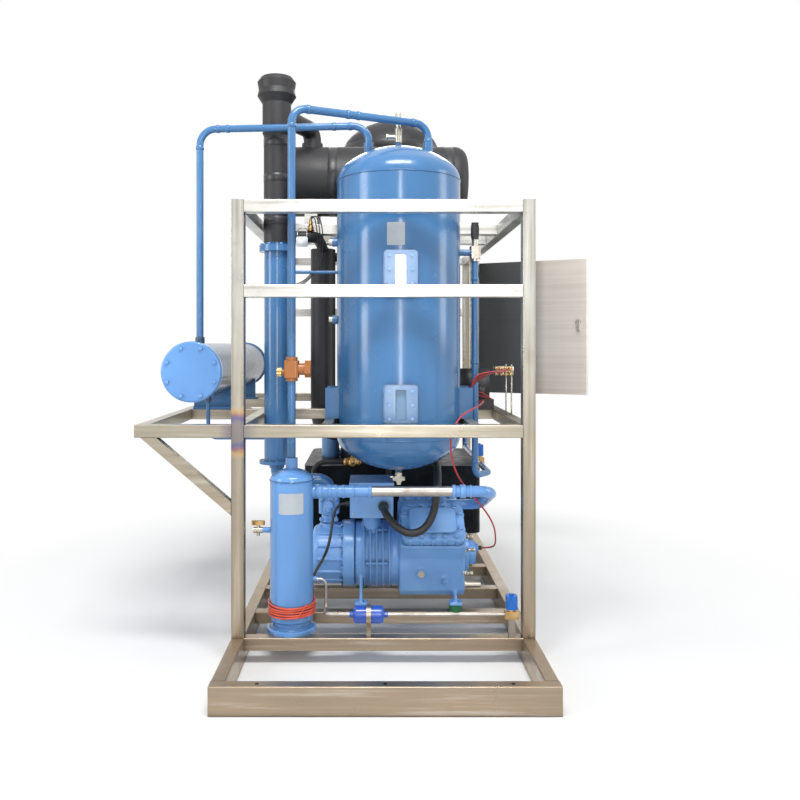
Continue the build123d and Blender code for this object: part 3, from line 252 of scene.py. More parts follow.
def stainless(name, streaks, top=(0.70, 0.69, 0.65), edged=False):
    """Raw welded steel, painted warm and dull near the floor as painted shade and paler higher up
    as a painted reflection of the sky, with painted shade in its grooves.
    """
    s = Shader(name)
    height = s.axis("Z")
    low_z, middle_z, high_z = 0.05, 0.90, 1.45
    # Painted light by height: painted shade low down, a painted reflection higher up.
    tone = s.mix(s.span(height, low_z, middle_z), (0.40, 0.31, 0.22), (0.46, 0.41, 0.32))
    tone = s.mix(s.span(height, middle_z, high_z), tone, top)
    streak = s.noise(9, 5, streaks, 0.55)
    tone = s.mix(s.span(streak, 0.36, 0.50, 0.38, 0.0), tone, (0.26, 0.23, 0.18))
    tone = s.mix(s.span(streak, 0.54, 0.74, 0.0, 0.42), tone, (0.84, 0.81, 0.76))
    if edged:
        tone = shaded_edges(s, tone)
    smear = s.noise(7, 5, rough=0.65)
    tone = s.mix(s.span(smear, 0.60, 0.78, 0.0, 0.45), tone, (0.28, 0.23, 0.18))
    tone = s.paint_crevice_shade(weld_tint(s, tone), 0.03, 0.75)
    s.set(Base_Color=tone, Metallic=0.90, Roughness=s.span(smear, 0.3, 0.75, 0.24, 0.46))
    return s.bump(s.noise(60, 3, streaks), 0.10, 0.0005).material


def plain_steel(name, tone, roughness, stain):
    """Bare metal with cloudy stains."""
    s = Shader(name)
    cloud = s.noise(18, 5)
    colour = s.mix(s.span(cloud, 0.45, 0.75, 0, 0.6), tone, stain)
    s.set(Base_Color=colour, Metallic=0.95,
          Roughness=s.span(cloud, 0.3, 0.8, roughness - 0.08, roughness + 0.18))
    return s.bump(s.noise(300, 2), 0.08, 0.0004).material


def sheet_steel(name, hinge_shade):
    """Brushed sheet, paler towards the free edge as a painted highlight; the second argument is how
    much painted shade darkens the door's hinge half, as the photograph has it.
    """
    s = Shader(name)
    hinge_x, dark_end, bright_start, free_x = 0.83, 0.93, 1.10, 1.18
    grain = s.noise(70, 4, (0.02, 0.02, 1.0))
    cloud = s.noise(2.0, 4, (0.6, 0.6, 2.0))
    tone = s.mix(s.span(cloud, 0.3, 0.7), (0.62, 0.53, 0.45), (0.80, 0.73, 0.64))
    tone = s.mix(s.span(grain, 0.35, 0.65, 0, 0.35), tone, (0.90, 0.84, 0.76))
    # Painted highlight: paler towards the free edge.
    tone = s.mix(s.span(s.axis("X"), bright_start, free_x, 0.0, 0.5), tone, (0.95, 0.92, 0.86))
    # Painted shade: the door's hinge half goes to a dark slate.
    dark = s.span(s.axis("X"), dark_end, hinge_x, 0.0, hinge_shade)
    tone = s.mix(dark, tone, (0.034, 0.046, 0.054))
    s.set(Base_Color=tone, Metallic=0.55, Roughness=0.36)
    return s.bump(grain, 0.06, 0.0004).material


def insulation():
    """Black foam sheet, lumpy and half dull."""
    s = Shader("insulation")
    mottle = s.noise(12, 5, rough=0.6)
    colour = s.ramp(mottle, (0.3, (0.009, 0.009, 0.010)), (0.6, (0.017, 0.017, 0.019)),
                    (0.85, (0.038, 0.038, 0.041)))
    s.set(Base_Color=colour, Roughness=s.span(mottle, 0.3, 0.8, 0.44, 0.66))
    s.set(Specular_IOR_Level=0.55)
    soft = s.math("ADD", s.noise(7, 3), s.math("MULTIPLY", s.noise(150, 3), 0.2))
    return s.bump(soft, 0.35, 0.006).material


def plastic(name, colour, roughness, bump=0.08):
    s = Shader(name)
    mottle = s.noise(40, 4)
    dark = tuple(c * 0.75 for c in colour)
    s.set(Base_Color=s.mix(s.span(mottle, 0.3, 0.75), dark, colour),
          Roughness=s.span(mottle, 0.3, 0.8, roughness - 0.06, roughness + 0.12))
    return s.bump(s.noise(420, 2), bump, 0.0003).material


def brass():
    s = Shader("brass")
    mottle = s.noise(25, 5)
    colour = s.ramp(mottle, (0.3, (0.46, 0.27, 0.10)), (0.6, (0.72, 0.48, 0.20)),
                    (0.85, (0.85, 0.66, 0.36)))
    s.set(Base_Color=colour, Metallic=1.0, Roughness=s.span(mottle, 0.3, 0.8, 0.22, 0.42))
    return s.bump(s.noise(240, 2), 0.10, 0.0004).material


def glass():
    s = Shader("sight_glass")
    haze = s.noise(30, 4)
    s.set(Base_Color=s.mix(haze, (0.62, 0.68, 0.70), (0.90, 0.93, 0.94)), Roughness=0.06)
    s.set(Coat_Weight=1.0, Coat_Roughness=0.02, Specular_IOR_Level=0.8)
    return s.bump(haze, 0.05, 0.0005).material


def paper(name, tone):
    """A blank label or plate."""
    s = Shader(name)
    fibre = s.noise(60, 4)
    s.set(Base_Color=s.mix(s.span(fibre, 0.3, 0.7, 0, 0.4), tone, tuple(c * 0.86 for c in tone)),
          Roughness=0.38)
    return s.bump(fibre, 0.05, 0.0003).material


# One blue paint in lit and shaded copies: the lit copy and the cast blue carry its painted lit
# tone, BLUE carries painted shade, and SHADED deeper painted shade.
BLUE = gloss_paint("blue_paint", (0.052, 0.178, 0.385), 0.22)
CAST = cast_blue()
LIT_BLUE = gloss_paint("lit_blue_paint", (0.140, 0.345, 0.720), 0.20)
SHADED = gloss_paint("shaded_blue_paint", (0.034, 0.082, 0.165), 0.30)
POSTS = stainless("stainless_posts", (6, 6, 0.25), (0.54, 0.53, 0.48), edged=True)
STEEL = stainless("stainless_rails", (0.25, 0.25, 6))
BARE = plain_steel("bare_pipe", (0.48, 0.45, 0.42), 0.36, (0.26, 0.21, 0.17))
BRIGHT = plain_steel("bright_fitting", (0.62, 0.58, 0.50), 0.24, (0.34, 0.30, 0.24))
TANK = plain_steel("tank_steel", (0.014, 0.017, 0.020), 0.42, (0.006, 0.007, 0.008))
TAPE = plastic("black_tape", (0.034, 0.034, 0.037), 0.34)
# The door's hinge half carries painted shade.
DOOR = sheet_steel("door_steel", 0.90)
CABINET = sheet_steel("cabinet_steel", 0.0)
FOAM = insulation()
BRASS = brass()
GLASS = glass()
LABEL = paper("blank_label", (0.86, 0.87, 0.88))
FOIL = paper("blank_foil", (0.46, 0.50, 0.54))
BLUE_GLASS = paper("blue_glass", (0.20, 0.34, 0.52))
ORANGE = gloss_paint("orange_paint", (0.40, 0.135, 0.026), 0.32)
ROYAL = gloss_paint("royal_paint", (0.020, 0.085, 0.46), 0.22)
AZURE = plastic("azure_coil", (0.012, 0.16, 0.60), 0.30)
GREEN = plastic("green_pad", (0.015, 0.16, 0.055), 0.55)
BLACK = plastic("black_plastic", (0.028, 0.028, 0.030), 0.40)
GREY = plastic("grey_plastic", (0.42, 0.43, 0.44), 0.45)
RUBBER = plastic("black_jacket", (0.022, 0.022, 0.024), 0.46, 0.16)
RED = plastic("red_jacket", (0.55, 0.035, 0.045), 0.36)
HEAT = plastic("heater_jacket", (0.78, 0.105, 0.050), 0.34)


def paint(node, *materials, second=lambda centre: False):
    """Give a CAD node its materials; second tells by a face's centre if it gets the second one."""
    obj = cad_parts[node]
    obj.data.materials.clear()
    for material in materials:
        obj.data.materials.append(material)
    for face in obj.data.polygons:
        face.material_index = int(second(face.center))


for material, nodes in (
    (BLUE, ("receiver_shell", "receiver_gauge_frames", "gas_pipes", "suction_column",
            "suction_pipe", "liquid_pipe")),
    (SHADED, ("condenser_shell",)),
    (LIT_BLUE, ("oil_separator", "condenser_covers")),
    (CAST, ("compressor_crankcase", "compressor_end_bell", "cylinder_heads", "oil_pump_cover",
            "service_valves", "bolt_heads", "terminal_box", "cutter_drive")),
    (STEEL, ("base_rails", "frame_rails", "bearers", "shelf_rails")),
    (POSTS, ("corner_posts", "tank_legs")),
    (FOAM, ("suction_riser", "suction_branches", "suction_drum", "evaporator_shell")),
    (CABINET, ("cabinet_body",)),
    (DOOR, ("cabinet_door",)),
    (TANK, ("water_tank", "ice_chute", "cutter_housing", "cutter_disc", "water_pump")),
    (BRIGHT, ("relief_valve", "ball_valve", "drain_valves", "receiver_drain_wheel",
              "sight_glasses", "cabinet_lock")),
    (BRASS, ("stop_valve_knob", "separator_drain_handle")),
    (ORANGE, ("stop_valve",)),
    (ROYAL, ("filter_drier",)),
    (AZURE, ("solenoid_coils",)),
    (HEAT, ("separator_heater",)),
    (GREEN, ("compressor_pads",)),
    (GREY, ("cabinet_back_plate",)),
    (BLACK, ("ball_valve_handle", "cable_trunk", "cable_glands")),
    (RUBBER, ("power_conduit", "heater_lead")),
    (RED, ("red_cable",)),
):
    for node in nodes:
        paint(node, material)

# Nodes of two materials, parted at a place
SLEEVE_X = (-0.044, 0.275)
SLEEVE_LOW_Z = 0.6
LINE_TOP_Z = 0.168
UPPER_GAUGE_Z = 1.2
UPPER_LINE_Z = 0.5
SHELF_X = -0.55
paint("discharge_pipes", LIT_BLUE, BARE,
      second=lambda c: SLEEVE_X[0] < c.x < SLEEVE_X[1] and c.z > SLEEVE_LOW_Z)
paint("solenoid_valves", BRASS, BARE, second=lambda c: c.z < LINE_TOP_Z)
paint("receiver_gauge_glasses", GLASS, BLUE_GLASS, second=lambda c: c.z < UPPER_GAUGE_Z)
paint("thin_lines", BARE, BLUE, second=lambda c: c.z > UPPER_LINE_Z)
paint("brackets", STEEL, BLUE, second=lambda c: c.x < SHELF_X)


# Castings get soft corners

for node, voxel, passes in (("compressor_crankcase", 0.0042, 16), ("cylinder_heads", 0.0034, 5),
                            ("compressor_end_bell", 0.0032, 3), ("service_valves", 0.0028, 4)):
    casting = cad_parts[node]
    solid = casting.modifiers.new("one_skin", "REMESH")
    solid.mode = "VOXEL"
    solid.voxel_size = voxel
    solid.use_smooth_shade = True
    soft = casting.modifiers.new("soft_corners", "SMOOTH")
    soft.factor = 0.5
    soft.iterations = passes


# Cables, along the same routes as the solids

def tube(name, points, diameter, material, sides=3, steps=6):
    """A round tube along a smooth curve that the points shape."""
    data = bpy.data.curves.new(name, "CURVE")
    data.dimensions = "3D"
    data.bevel_depth = diameter / 2
    data.bevel_resolution = sides
    data.resolution_u = steps
    data.use_fill_caps = True
    spline = data.splines.new("NURBS")
    spline.points.add(len(points) - 1)
    for point, place in zip(spline.points, points):
        point.co = (*place, 1)
    spline.order_u = 3
    spline.use_endpoint_u = True
    data.materials.append(material)
    obj = bpy.data.objects.new(name, data)
    scene.collection.objects.link(obj)
    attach(obj, "machine")
    return obj


def cable(name, diameter, material, route, **facts):
    """A cord on a route of (x, depth behind the front posts, z) in millimetres."""
    points = [(x / 1000, FRONT_Y + depth / 1000, z / 1000) for x, depth, z in route]
    jacket = tube(name + "_jacket", points, diameter, material, 5, 10)
    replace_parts(jacket, name)


cable("power_conduit", 0.032, RUBBER, [
    (6, 324, 542), (6, 262, 542), (26, 204, 518), (66, 174, 482), (118, 168, 462),
    (172, 174, 482), (208, 190, 536), (224, 216, 606), (232, 264, 662), (238, 342, 690),
    (244, 432, 699), (249, 532, 706), (253, 634, 733), (255, 718, 784), (255, 763, 842),
    (255, 763, 905)], length=1.12, stiffness="limp", lay="hanging")
cable("heater_lead", 0.012, RUBBER, [
    (-159, 385, 545), (-184, 385, 545), (-206, 366, 516), (-214, 336, 474), (-220, 302, 424),
    (-230, 262, 380), (-250, 220, 342), (-276, 184, 306), (-290.7, 164.4, 272),
    (-290.7, 164.4, 243)], length=0.424, stiffness="limp", lay="hanging")
cable("red_cable", 0.007, RED, [
    (420, 713, 950), (420, 664, 950), (432, 596, 966), (444, 512, 982), (446, 420, 992),
    (432, 330, 990), (400, 244, 980), (354, 168, 968), (308, 112, 946), (276, 80, 898),
    (266, 76, 836), (276, 92, 770), (300, 120, 708), (340, 148, 650), (388, 168, 596),
    (432, 190, 540), (462, 236, 486), (480, 302, 436), (492, 376, 390), (500, 440, 352),
    (492, 486, 330), (462, 497, 325), (448, 497, 325)], length=1.554, stiffness="limp",
    lay="hanging")


# Small builders for the scene's own pieces

# Turned pieces keep a pinhole of this radius on their axis
CORE = 0.0008
THIN_CORE = 0.0006


def piece(name, mesh_maker, material, body="machine"):
    """A smooth-shaded piece that rides on a body."""
    mesh = bpy.data.meshes.new(name)
    bm = bmesh.new()
    mesh_maker(bm)
    bmesh.ops.recalc_face_normals(bm, faces=bm.faces)
    bm.to_mesh(mesh)
    bm.free()
    mesh.materials.append(material)
    for face in mesh.polygons:
        face.use_smooth = True
    obj = bpy.data.objects.new(name, mesh)
    scene.collection.objects.link(obj)
    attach(obj, body)


def lathe(bm, profile, place, turns, wobble=lambda angle: 0.0):
    """Turn a closed outline of (radius, height) about the Z axis of a place."""
    rings = []
    for k in range(turns):
        a = 2 * math.pi * k / turns
        grow = wobble(a)
        rings.append([bm.verts.new(place @ Vector(((r + grow) * math.cos(a),
                                                   (r + grow) * math.sin(a), z)))
                      for r, z in profile])
    for k in range(turns):
        here, there = rings[k], rings[(k + 1) % turns]
        for i in range(len(profile)):
            j = (i + 1) % len(profile)
            bm.faces.new((here[i], here[j], there[j], there[i]))


def disc(bm, r, low, high, place, turns=16, core=THIN_CORE):
    """A plain round or, with six turns, hexagonal pin."""
    lathe(bm, [(core, low), (r, low), (r, high), (core, high)], place, turns)


def ring_profile(inner, outer, low, high, round_by):
    return [(inner, low), (outer - round_by, low), (outer, low + round_by),
            (outer, high - round_by), (outer - round_by, high), (inner, high)]


def slab(bm, size, place, bevel):
    """A box with its edges rounded."""
    made = bmesh.ops.create_cube(bm, size=1.0, matrix=place @ Matrix.Diagonal((*size, 1)))
    edges = {edge for vert in made["verts"] for edge in vert.link_edges}
    bmesh.ops.bevel(bm, geom=list(edges), offset=bevel, segments=2, affect="EDGES",
                    clamp_overlap=True)


def nut(bm, place, r, h):
    """A hexagon head with a chamfer, on a round washer."""
    washer = h * 0.2
    disc(bm, r * 1.25, 0, washer, place)
    lathe(bm, [(THIN_CORE, washer), (r, washer), (r, h * 0.85), (r * 0.86, h), (THIN_CORE, h)],
          place, 6)


def at(x, y, z):
    return Matrix.Translation((x, y, z))


def facing(axis):
    """A turn that brings Z onto another axis."""
    return Vector(axis).to_track_quat("Z", "Y").to_matrix().to_4x4()


TO_FRONT = facing((0, -1, 0))
TO_RIGHT = facing((1, 0, 0))
TO_LEFT = facing((-1, 0, 0))


def curved_plate(bm, centre, r, middle, width, low, high):
    """A thin plate that lies round an upright shell; middle is its angle in degrees."""
    steps, thick, corner = 14, 0.0008, 0.004
    half = width / 2 / r
    out = r + thick
    rows = []
    for k in range(steps + 1):
        a = math.radians(middle) - half + 2 * half * k / steps
        edge = min(k, steps - k) * 2 * half * r / steps
        cut = max(0.0, corner - edge) * 0.6
        rows.append([bm.verts.new((centre[0] + out * math.cos(a), centre[1] + out * math.sin(a), z))
                     for z in (low + cut, high - cut)])
    for here, there in zip(rows, rows[1:]):
        bm.faces.new((here[0], there[0], there[1], here[1]))


# Weld beads, sockets and tape

def bead(bm, r, z, place, thick=0.0028):
    """A weld seam round a vessel, a little uneven."""
    profile = [(r + thick * math.cos(a), z + thick * math.sin(a))
               for a in (math.pi * k / 4 for k in range(8))]
    lathe(bm, profile, place, 120, lambda a: 0.0005 * math.sin(31 * a) + 0.0003 * math.sin(53 * a))


def vessel_seams(bm):
    for z in RECEIVER_SEAMS:
        bead(bm, RECEIVER_R, z, at(*RECEIVER, 0))
    bead(bm, SEPARATOR_R, SEPARATOR_SEAM, at(*SEPARATOR, 0))
    bead(bm, SEPARATOR_R, SEPARATOR_FOOT_SEAM, at(*SEPARATOR, 0), thick=0.004)
    for x in (HOT_NOZZLE_X, VAPOUR_NOZZLE_X):
        bead(bm, NOZZLE_R, NOZZLE_SEAM, at(x, RECEIVER[1], 0), thick=0.003)


def socket(bm, centre, axis, d, length=0.016, lip=0.0022):
    """A sleeve over the joint of two pipe lengths."""
    half, sink, rounding = length / 2, 0.0006, 0.0012
    lathe(bm, ring_profile(d / 2 - sink, d / 2 + lip, -half, half, rounding),
          at(*centre) @ facing(axis), 32)


def crossing_sockets(bm, start, end, d, after_start, before_end, drop):
    """Sockets on a pipe that crosses between two upright pipes, and a drop below both bends."""
    over = (end - start).normalized()
    for off in after_start:
        socket(bm, start + over * off, over, d)
    for off in before_end:
        socket(bm, end - over * off, over, d)
    for corner in (start, end):
        socket(bm, (corner.x, corner.y, corner.z - drop), (0, 0, 1), d)


def pipe_sockets(bm):
    crossing_sockets(bm, Vector((*SEPARATOR, HOT_Z)), Vector((HOT_NOZZLE_X, RECEIVER[1], HOT_Z)),
                     HOT_D, (0.072, 0.245, 0.290), (0.072,), 0.072)
    crossing_sockets(bm, Vector((*CONDENSER_NOZZLE, VAPOUR_Z)),
                     Vector((VAPOUR_NOZZLE_X, RECEIVER[1], VAPOUR_Z)),
                     VAPOUR_D, (0.080, 0.125), (0.080, 0.150), 0.082)
    for z in (1.52, 1.16, 0.735):
        socket(bm, (*LIQUID_PIPE, z), (0, 0, 1), LIQUID_D)


def discharge_rings(bm):
    """The stepped fittings beside the separator and the union at the right."""
    for x, lip, length in ((-0.255, 0.006, 0.030), (-0.212, 0.005, 0.020), (-0.186, 0.004, 0.010),
                           (-0.158, 0.004, 0.012), (-0.118, 0.003, 0.010), (-0.052, 0.003, 0.014),
                           (0.283, 0.004, 0.014), (0.318, 0.005, 0.022), (0.350, 0.003, 0.010)):
        socket(bm, (x, SEPARATOR[1], DISCHARGE_Z), (1, 0, 0), DISCHARGE_D, length, lip)


def tape(bm, r, starts, wide, place, turns, waves, sink=0.001):
    """Bands round insulation; each wave is how far the band sways and how often."""
    thick, rounding = 0.0016, 0.0006
    for start in starts:
        lathe(bm, ring_profile(r - sink, r + thick, start, start + wide, rounding), place, turns,
              lambda a: sum(sway * math.sin(count * a) for sway, count in waves))


def foam_tape(bm):
    tape(bm, RISER_R, (1.770, 1.960, 2.118), 0.034, at(*COLUMN, 0), 48,
         ((0.0007, 3), (0.0004, 7)), sink=0.0005)
    tape(bm, DRUM_R, (-0.250, 0.020, 0.300), 0.042, at(0, DRUM_Y, DRUM_Z) @ TO_RIGHT, 72,
         ((0.0008, 2), (0.0004, 9)))
    tape(bm, EVAPORATOR_R, (0.98, 1.34, 1.70, 2.06, 2.27), 0.045, at(*EVAPORATOR, 0), 96,
         ((0.0008, 2), (0.0004, 11)))


piece("vessel_seams", vessel_seams, BLUE)
piece("pipe_sockets", pipe_sockets, BLUE)
piece("discharge_rings", discharge_rings, LIT_BLUE)
piece("insulation_tape", foam_tape, TAPE)


# Compressor dressing

def head_place(side):
    """The middle of a cylinder head, Z out of its face."""
    off = HEAD_OUT * math.sqrt(0.5)
    tilt = Matrix.Rotation(-side * math.radians(45), 4, "X")
    return at(HEAD_X, COMP_Y + side * off, COMP_Z + off) @ tilt


def head_bosses(bm):
    """Round bosses under the bolts, which scallop the edge of each head."""
    inset, columns, end_margin, end_row = 0.014, 5, 0.070, 0.2 * HEAD_WIDTH
    r, low, high = 0.0180, -0.021, 0.0225
    taper, taper_h = 0.0030, 0.0040
    profile = [(CORE, low), (r, low), (r, high - taper_h), (r - taper, high), (CORE, high)]
    spots = [((k / (columns - 1) - 0.5) * (HEAD_LEN - end_margin), row * (HEAD_WIDTH / 2 - inset))
             for k in range(columns) for row in (-1, 1)]
    spots += [(end * (HEAD_LEN / 2 - inset), row * end_row) for end in (-1, 1) for row in (-1, 1)]
    for side in (-1, 1):
        for x, y in spots:
            lathe(bm, profile, head_place(side) @ at(x, y, 0), 24)


def case_bosses(bm):
    """The bosses of the sight glass and the plug, and the plug's hexagon."""
    plug_x, plug_z = 0.268, 0.220
    low, shoulder, high = -0.006, 0.007, 0.0085
    for x, z, r in ((0.167, 0.250, 0.019), (plug_x, plug_z, 0.014)):
        foot, edge, top = r + 0.004, r + 0.001, r - 0.001
        lathe(bm, [(CORE, low), (foot, low), (edge, shoulder), (top, high), (CORE, high)],
              at(x, COMP_Y - CASE_HALF, z) @ TO_FRONT, 28)
    nut(bm, at(plug_x, COMP_Y - CASE_HALF - 0.008, plug_z) @ TO_FRONT, 0.0095, 0.009)


def arc_rib(bm, x, wide, high, low_angle, high_angle):
    """A rib on the front of the motor housing, from one angle in degrees to another."""
    steps, foot, shoulder = 24, -0.002, high * 0.7
    section = [(-wide / 2, foot), (-wide / 2, shoulder), (-wide / 4, high), (wide / 4, high),
               (wide / 2, shoulder), (wide / 2, foot)]
    rows = []
    for k in range(steps + 1):
        a = math.radians(low_angle + (high_angle - low_angle) * k / steps)
        rows.append([bm.verts.new((x + dx, COMP_Y - (MOTOR_R + up) * math.cos(a),
                                   COMP_Z + (MOTOR_R + up) * math.sin(a))) for dx, up in section])
    for here, there in zip(rows, rows[1:]):
        for i in range(len(section)):
            j = (i + 1) % len(section)
            bm.faces.new((here[i], here[j], there[j], there[i]))
    bm.faces.new(rows[0])
    bm.faces.new(list(reversed(rows[-1])))


def motor_ribs(bm):
    """Five ribs round the housing and two bars that cross them."""
    count, first_x, pitch, bar_half = 5, -0.0786, 0.0276, 1.7
    for k in range(count):
        arc_rib(bm, first_x + pitch * k, 0.0075, 0.015, -58, 62)
    middle_x = first_x + pitch * (count - 1) / 2
    for angle in (-4, 54):
        arc_rib(bm, middle_x, 0.1230, 0.012, angle - bar_half, angle + bar_half)


def bell_bolts(bm):
    count, circle_r = 12, 0.134
    for k in range(count):
        a = 2 * math.pi * (k + 0.5) / count
        place = at(BELL_FACE_X, COMP_Y + circle_r * math.cos(a), COMP_Z + circle_r * math.sin(a))
        nut(bm, place @ TO_LEFT, 0.0085, 0.009)


def valve_bolts(bm):
    """The cap and the four bolts on the front of the suction valve."""
    half = 0.032
    for x in (SUCTION_VALVE_X - half, SUCTION_VALVE_X + half):
        for z in (0.462, 0.552):
            nut(bm, at(x, SUCTION_VALVE_FRONT, z) @ TO_FRONT, 0.0085, 0.010)
    r, shoulder, high, taper = 0.026, 0.010, 0.014, 0.004
    cap = at(SUCTION_VALVE_X, SUCTION_VALVE_FRONT, 0.508) @ TO_FRONT
    lathe(bm, [(CORE, 0), (r, 0), (r, shoulder), (r - taper, high), (CORE, high)], cap, 32)
    nut(bm, cap @ at(0, 0, high), 0.013, 0.014)


def end_fittings(bm):
    """Unions and the sump heater on the right end of the compressor."""
    union_h, seat, cap_h = 0.014, 0.012, 0.012
    for y, z, size, reach in ((-0.462, 0.405, 0.012, 0.020), (-0.448, 0.345, 0.009, 0.030),
                              (-0.470, 0.250, 0.011, 0.018)):
        place = at(CASE_RIGHT, y, z) @ facing((1, -0.15, 0.05))
        nut(bm, place, size * 1.25, union_h)
        disc(bm, size * 0.7, seat, union_h + reach, place)
        nut(bm, place @ at(0, 0, seat + reach), size, cap_h)
    flange_r, flange_t, rod_r, rod_end = 0.016, 0.018, 0.011, 0.082
    chamfer = 0.002
    lathe(bm, [(CORE, 0), (flange_r, 0), (flange_r, flange_t), (rod_r, flange_t + chamfer),
               (rod_r, rod_end), (CORE, rod_end + chamfer)],
          at(CASE_RIGHT - 0.004, -0.440, 0.192) @ TO_RIGHT, 24)


def box_screws(bm):
    """Screws at the corners of the terminal box's front."""
    box_front = -0.486
    for x in (-0.124, 0.033):
        for z in (0.506, 0.612):
            nut(bm, at(x, box_front, z) @ TO_FRONT, 0.0042, 0.003)


piece("head_bosses", head_bosses, CAST)
piece("case_bosses", case_bosses, CAST)
piece("motor_ribs", motor_ribs, CAST)
piece("bell_bolts", bell_bolts, CAST)
piece("valve_bolts", valve_bolts, CAST)
piece("end_fittings", end_fittings, BRIGHT)
piece("box_screws", box_screws, BRIGHT)


# Heater wound round the foot of the separator

def heater_route():
    """Five loose turns that wander a little up and down, and in and out."""
    turns, per_turn, margin = 5, 24, 0.005
    steps = turns * per_turn
    fall = HEATER_HIGH - HEATER_LOW - 2 * margin
    points = []
    for k in range(steps + 1):
        a = 2 * math.pi * k / per_turn
        sway = 0.0026 * math.sin(a + 0.35 * k / per_turn) + 0.0014 * math.sin(2.3 * a)
        r = SEPARATOR_R + 0.0058 + 0.0012 * math.sin(3.1 * a)
        points.append((SEPARATOR[0] + r * math.cos(a), SEPARATOR[1] + r * math.sin(a),
                       HEATER_HIGH - margin - fall * k / steps + sway))
    return points


def tie_route():
    """A short slanted tie over the turns, as pairs of angle and height."""
    r = SEPARATOR_R + 0.012
    return [(SEPARATOR[0] + r * math.cos(a), SEPARATOR[1] + r * math.sin(a), z)
            for a, z in ((-1.30, 0.170), (-1.20, 0.182), (-1.05, 0.196), (-0.92, 0.212),
                         (-0.85, 0.222))]


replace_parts(tube("heater_winding", heater_route(), 0.0078, HEAT), "separator_heater")
tube("heater_tie", tie_route(), 0.004, HEAT)


# Blank plates

def receiver_plate(bm):
    curved_plate(bm, RECEIVER, RECEIVER_R, middle=-94, width=0.072, low=1.633, high=1.725)


def separator_plate(bm):
    curved_plate(bm, SEPARATOR, SEPARATOR_R, middle=-86, width=0.100, low=0.574, high=0.656)


def lock_plate(bm):
    """An oval plate under the lock, square to the door as it stands ajar."""
    steps, half_w, half_h, ajar = 28, 0.013, 0.026, 25
    low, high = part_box("cabinet_lock")
    middle = (Vector(low) + Vector(high)) / 2
    place = Matrix.Translation(middle) @ Matrix.Rotation(math.radians(-ajar), 4, "Z")
    outline = [(half_w * math.cos(a), half_h * math.sin(a))
               for a in (2 * math.pi * k / steps for k in range(steps))]
    back = [bm.verts.new(place @ Vector((x, -0.002, z))) for x, z in outline]
    front = [bm.verts.new(place @ Vector((x * 0.9, -0.006, z * 0.95))) for x, z in outline]
    bm.faces.new(back)
    bm.faces.new(list(reversed(front)))
    for k in range(steps):
        j = (k + 1) % steps
        bm.faces.new((back[k], back[j], front[j], front[k]))


piece("receiver_plate", receiver_plate, FOIL)
piece("separator_plate", separator_plate, FOIL)
piece("lock_plate", lock_plate, LABEL, body="door")


# Pressure sensor beside the suction column

SENSOR = (-0.352, -0.404, 1.690)
CAPILLARY_START = (-0.318, -0.350, 1.744)


def sensor_box(bm):
    slab(bm, (0.050, 0.026, 0.042), at(*SENSOR), 0.003)


def capillary_nuts(bm):
    """A stack of three nuts, each smaller than the one below."""
    rise = 0
    for r, h in ((0.013, 0.020), (0.009, 0.022), (0.006, 0.012)):
        nut(bm, at(*CAPILLARY_START) @ at(0, 0, rise), r, h)
        rise += h


piece("sensor_box", sensor_box, LABEL)
piece("capillary_nuts", capillary_nuts, BRASS)
tube("sensor_bail", [(-0.372, -0.404, 1.708), (-0.374, -0.400, 1.735), (-0.368, -0.376, 1.752),
                     (-0.350, -0.366, 1.756), (-0.334, -0.376, 1.752), (-0.330, -0.400, 1.735),
                     (-0.332, -0.404, 1.708)], 0.0035, BRIGHT)
for k in range(3):
    tube("capillary_" + str(k), [
        (-0.318, -0.350, 1.795), (-0.318 + 0.01 * k, -0.352, 1.815),
        (-0.296 + 0.012 * k, -0.356, 1.800), (-0.284 + 0.012 * k, -0.358, 1.700),
        (-0.290 + 0.010 * k, -0.356, 1.600), (-0.330 + 0.006 * k, -0.352, 1.530),
        (-0.395, -0.350, 1.500 - 0.012 * k), (-0.414, -0.350, 1.498 - 0.012 * k)],
         0.0045, RUBBER)


# Terminals on the right side rail, and the wires that reach them from the trunk

TERMINAL_X, TERMINAL_Y = 0.503, -0.401
STAND_Y = -0.392


def terminal_stand(bm):
    """Two thin rods on the side rail that carry the connectors."""
    rod_r, low, high, core = 0.0032, 0.926, 1.150, 0.0004
    for x in (0.548, 0.572):
        disc(bm, rod_r, low, high, at(x, STAND_Y, 0), 12, core)
    slab(bm, (0.090, 0.005, 0.040), at(0.535, STAND_Y - 0.006, 1.122), 0.001)


def terminals(bm):
    count, pitch = 4, 0.021
    for k in range(count):
        x = TERMINAL_X + pitch * k
        nut(bm, at(x, TERMINAL_Y, 1.130) @ TO_FRONT, 0.0082, 0.016)
        nut(bm, at(x, TERMINAL_Y, 1.108) @ TO_FRONT, 0.0062, 0.010)


def trunk_panel(bm):
    slab(bm, (0.170, 0.006, 0.150), at(0.450, 0.016, 1.045), 0.0015)


def contactors(bm):
    count, pitch = 3, 0.046
    for k in range(count):
        slab(bm, (0.040, 0.045, 0.062), at(0.392 + pitch * k, -0.020, 1.008), 0.003)


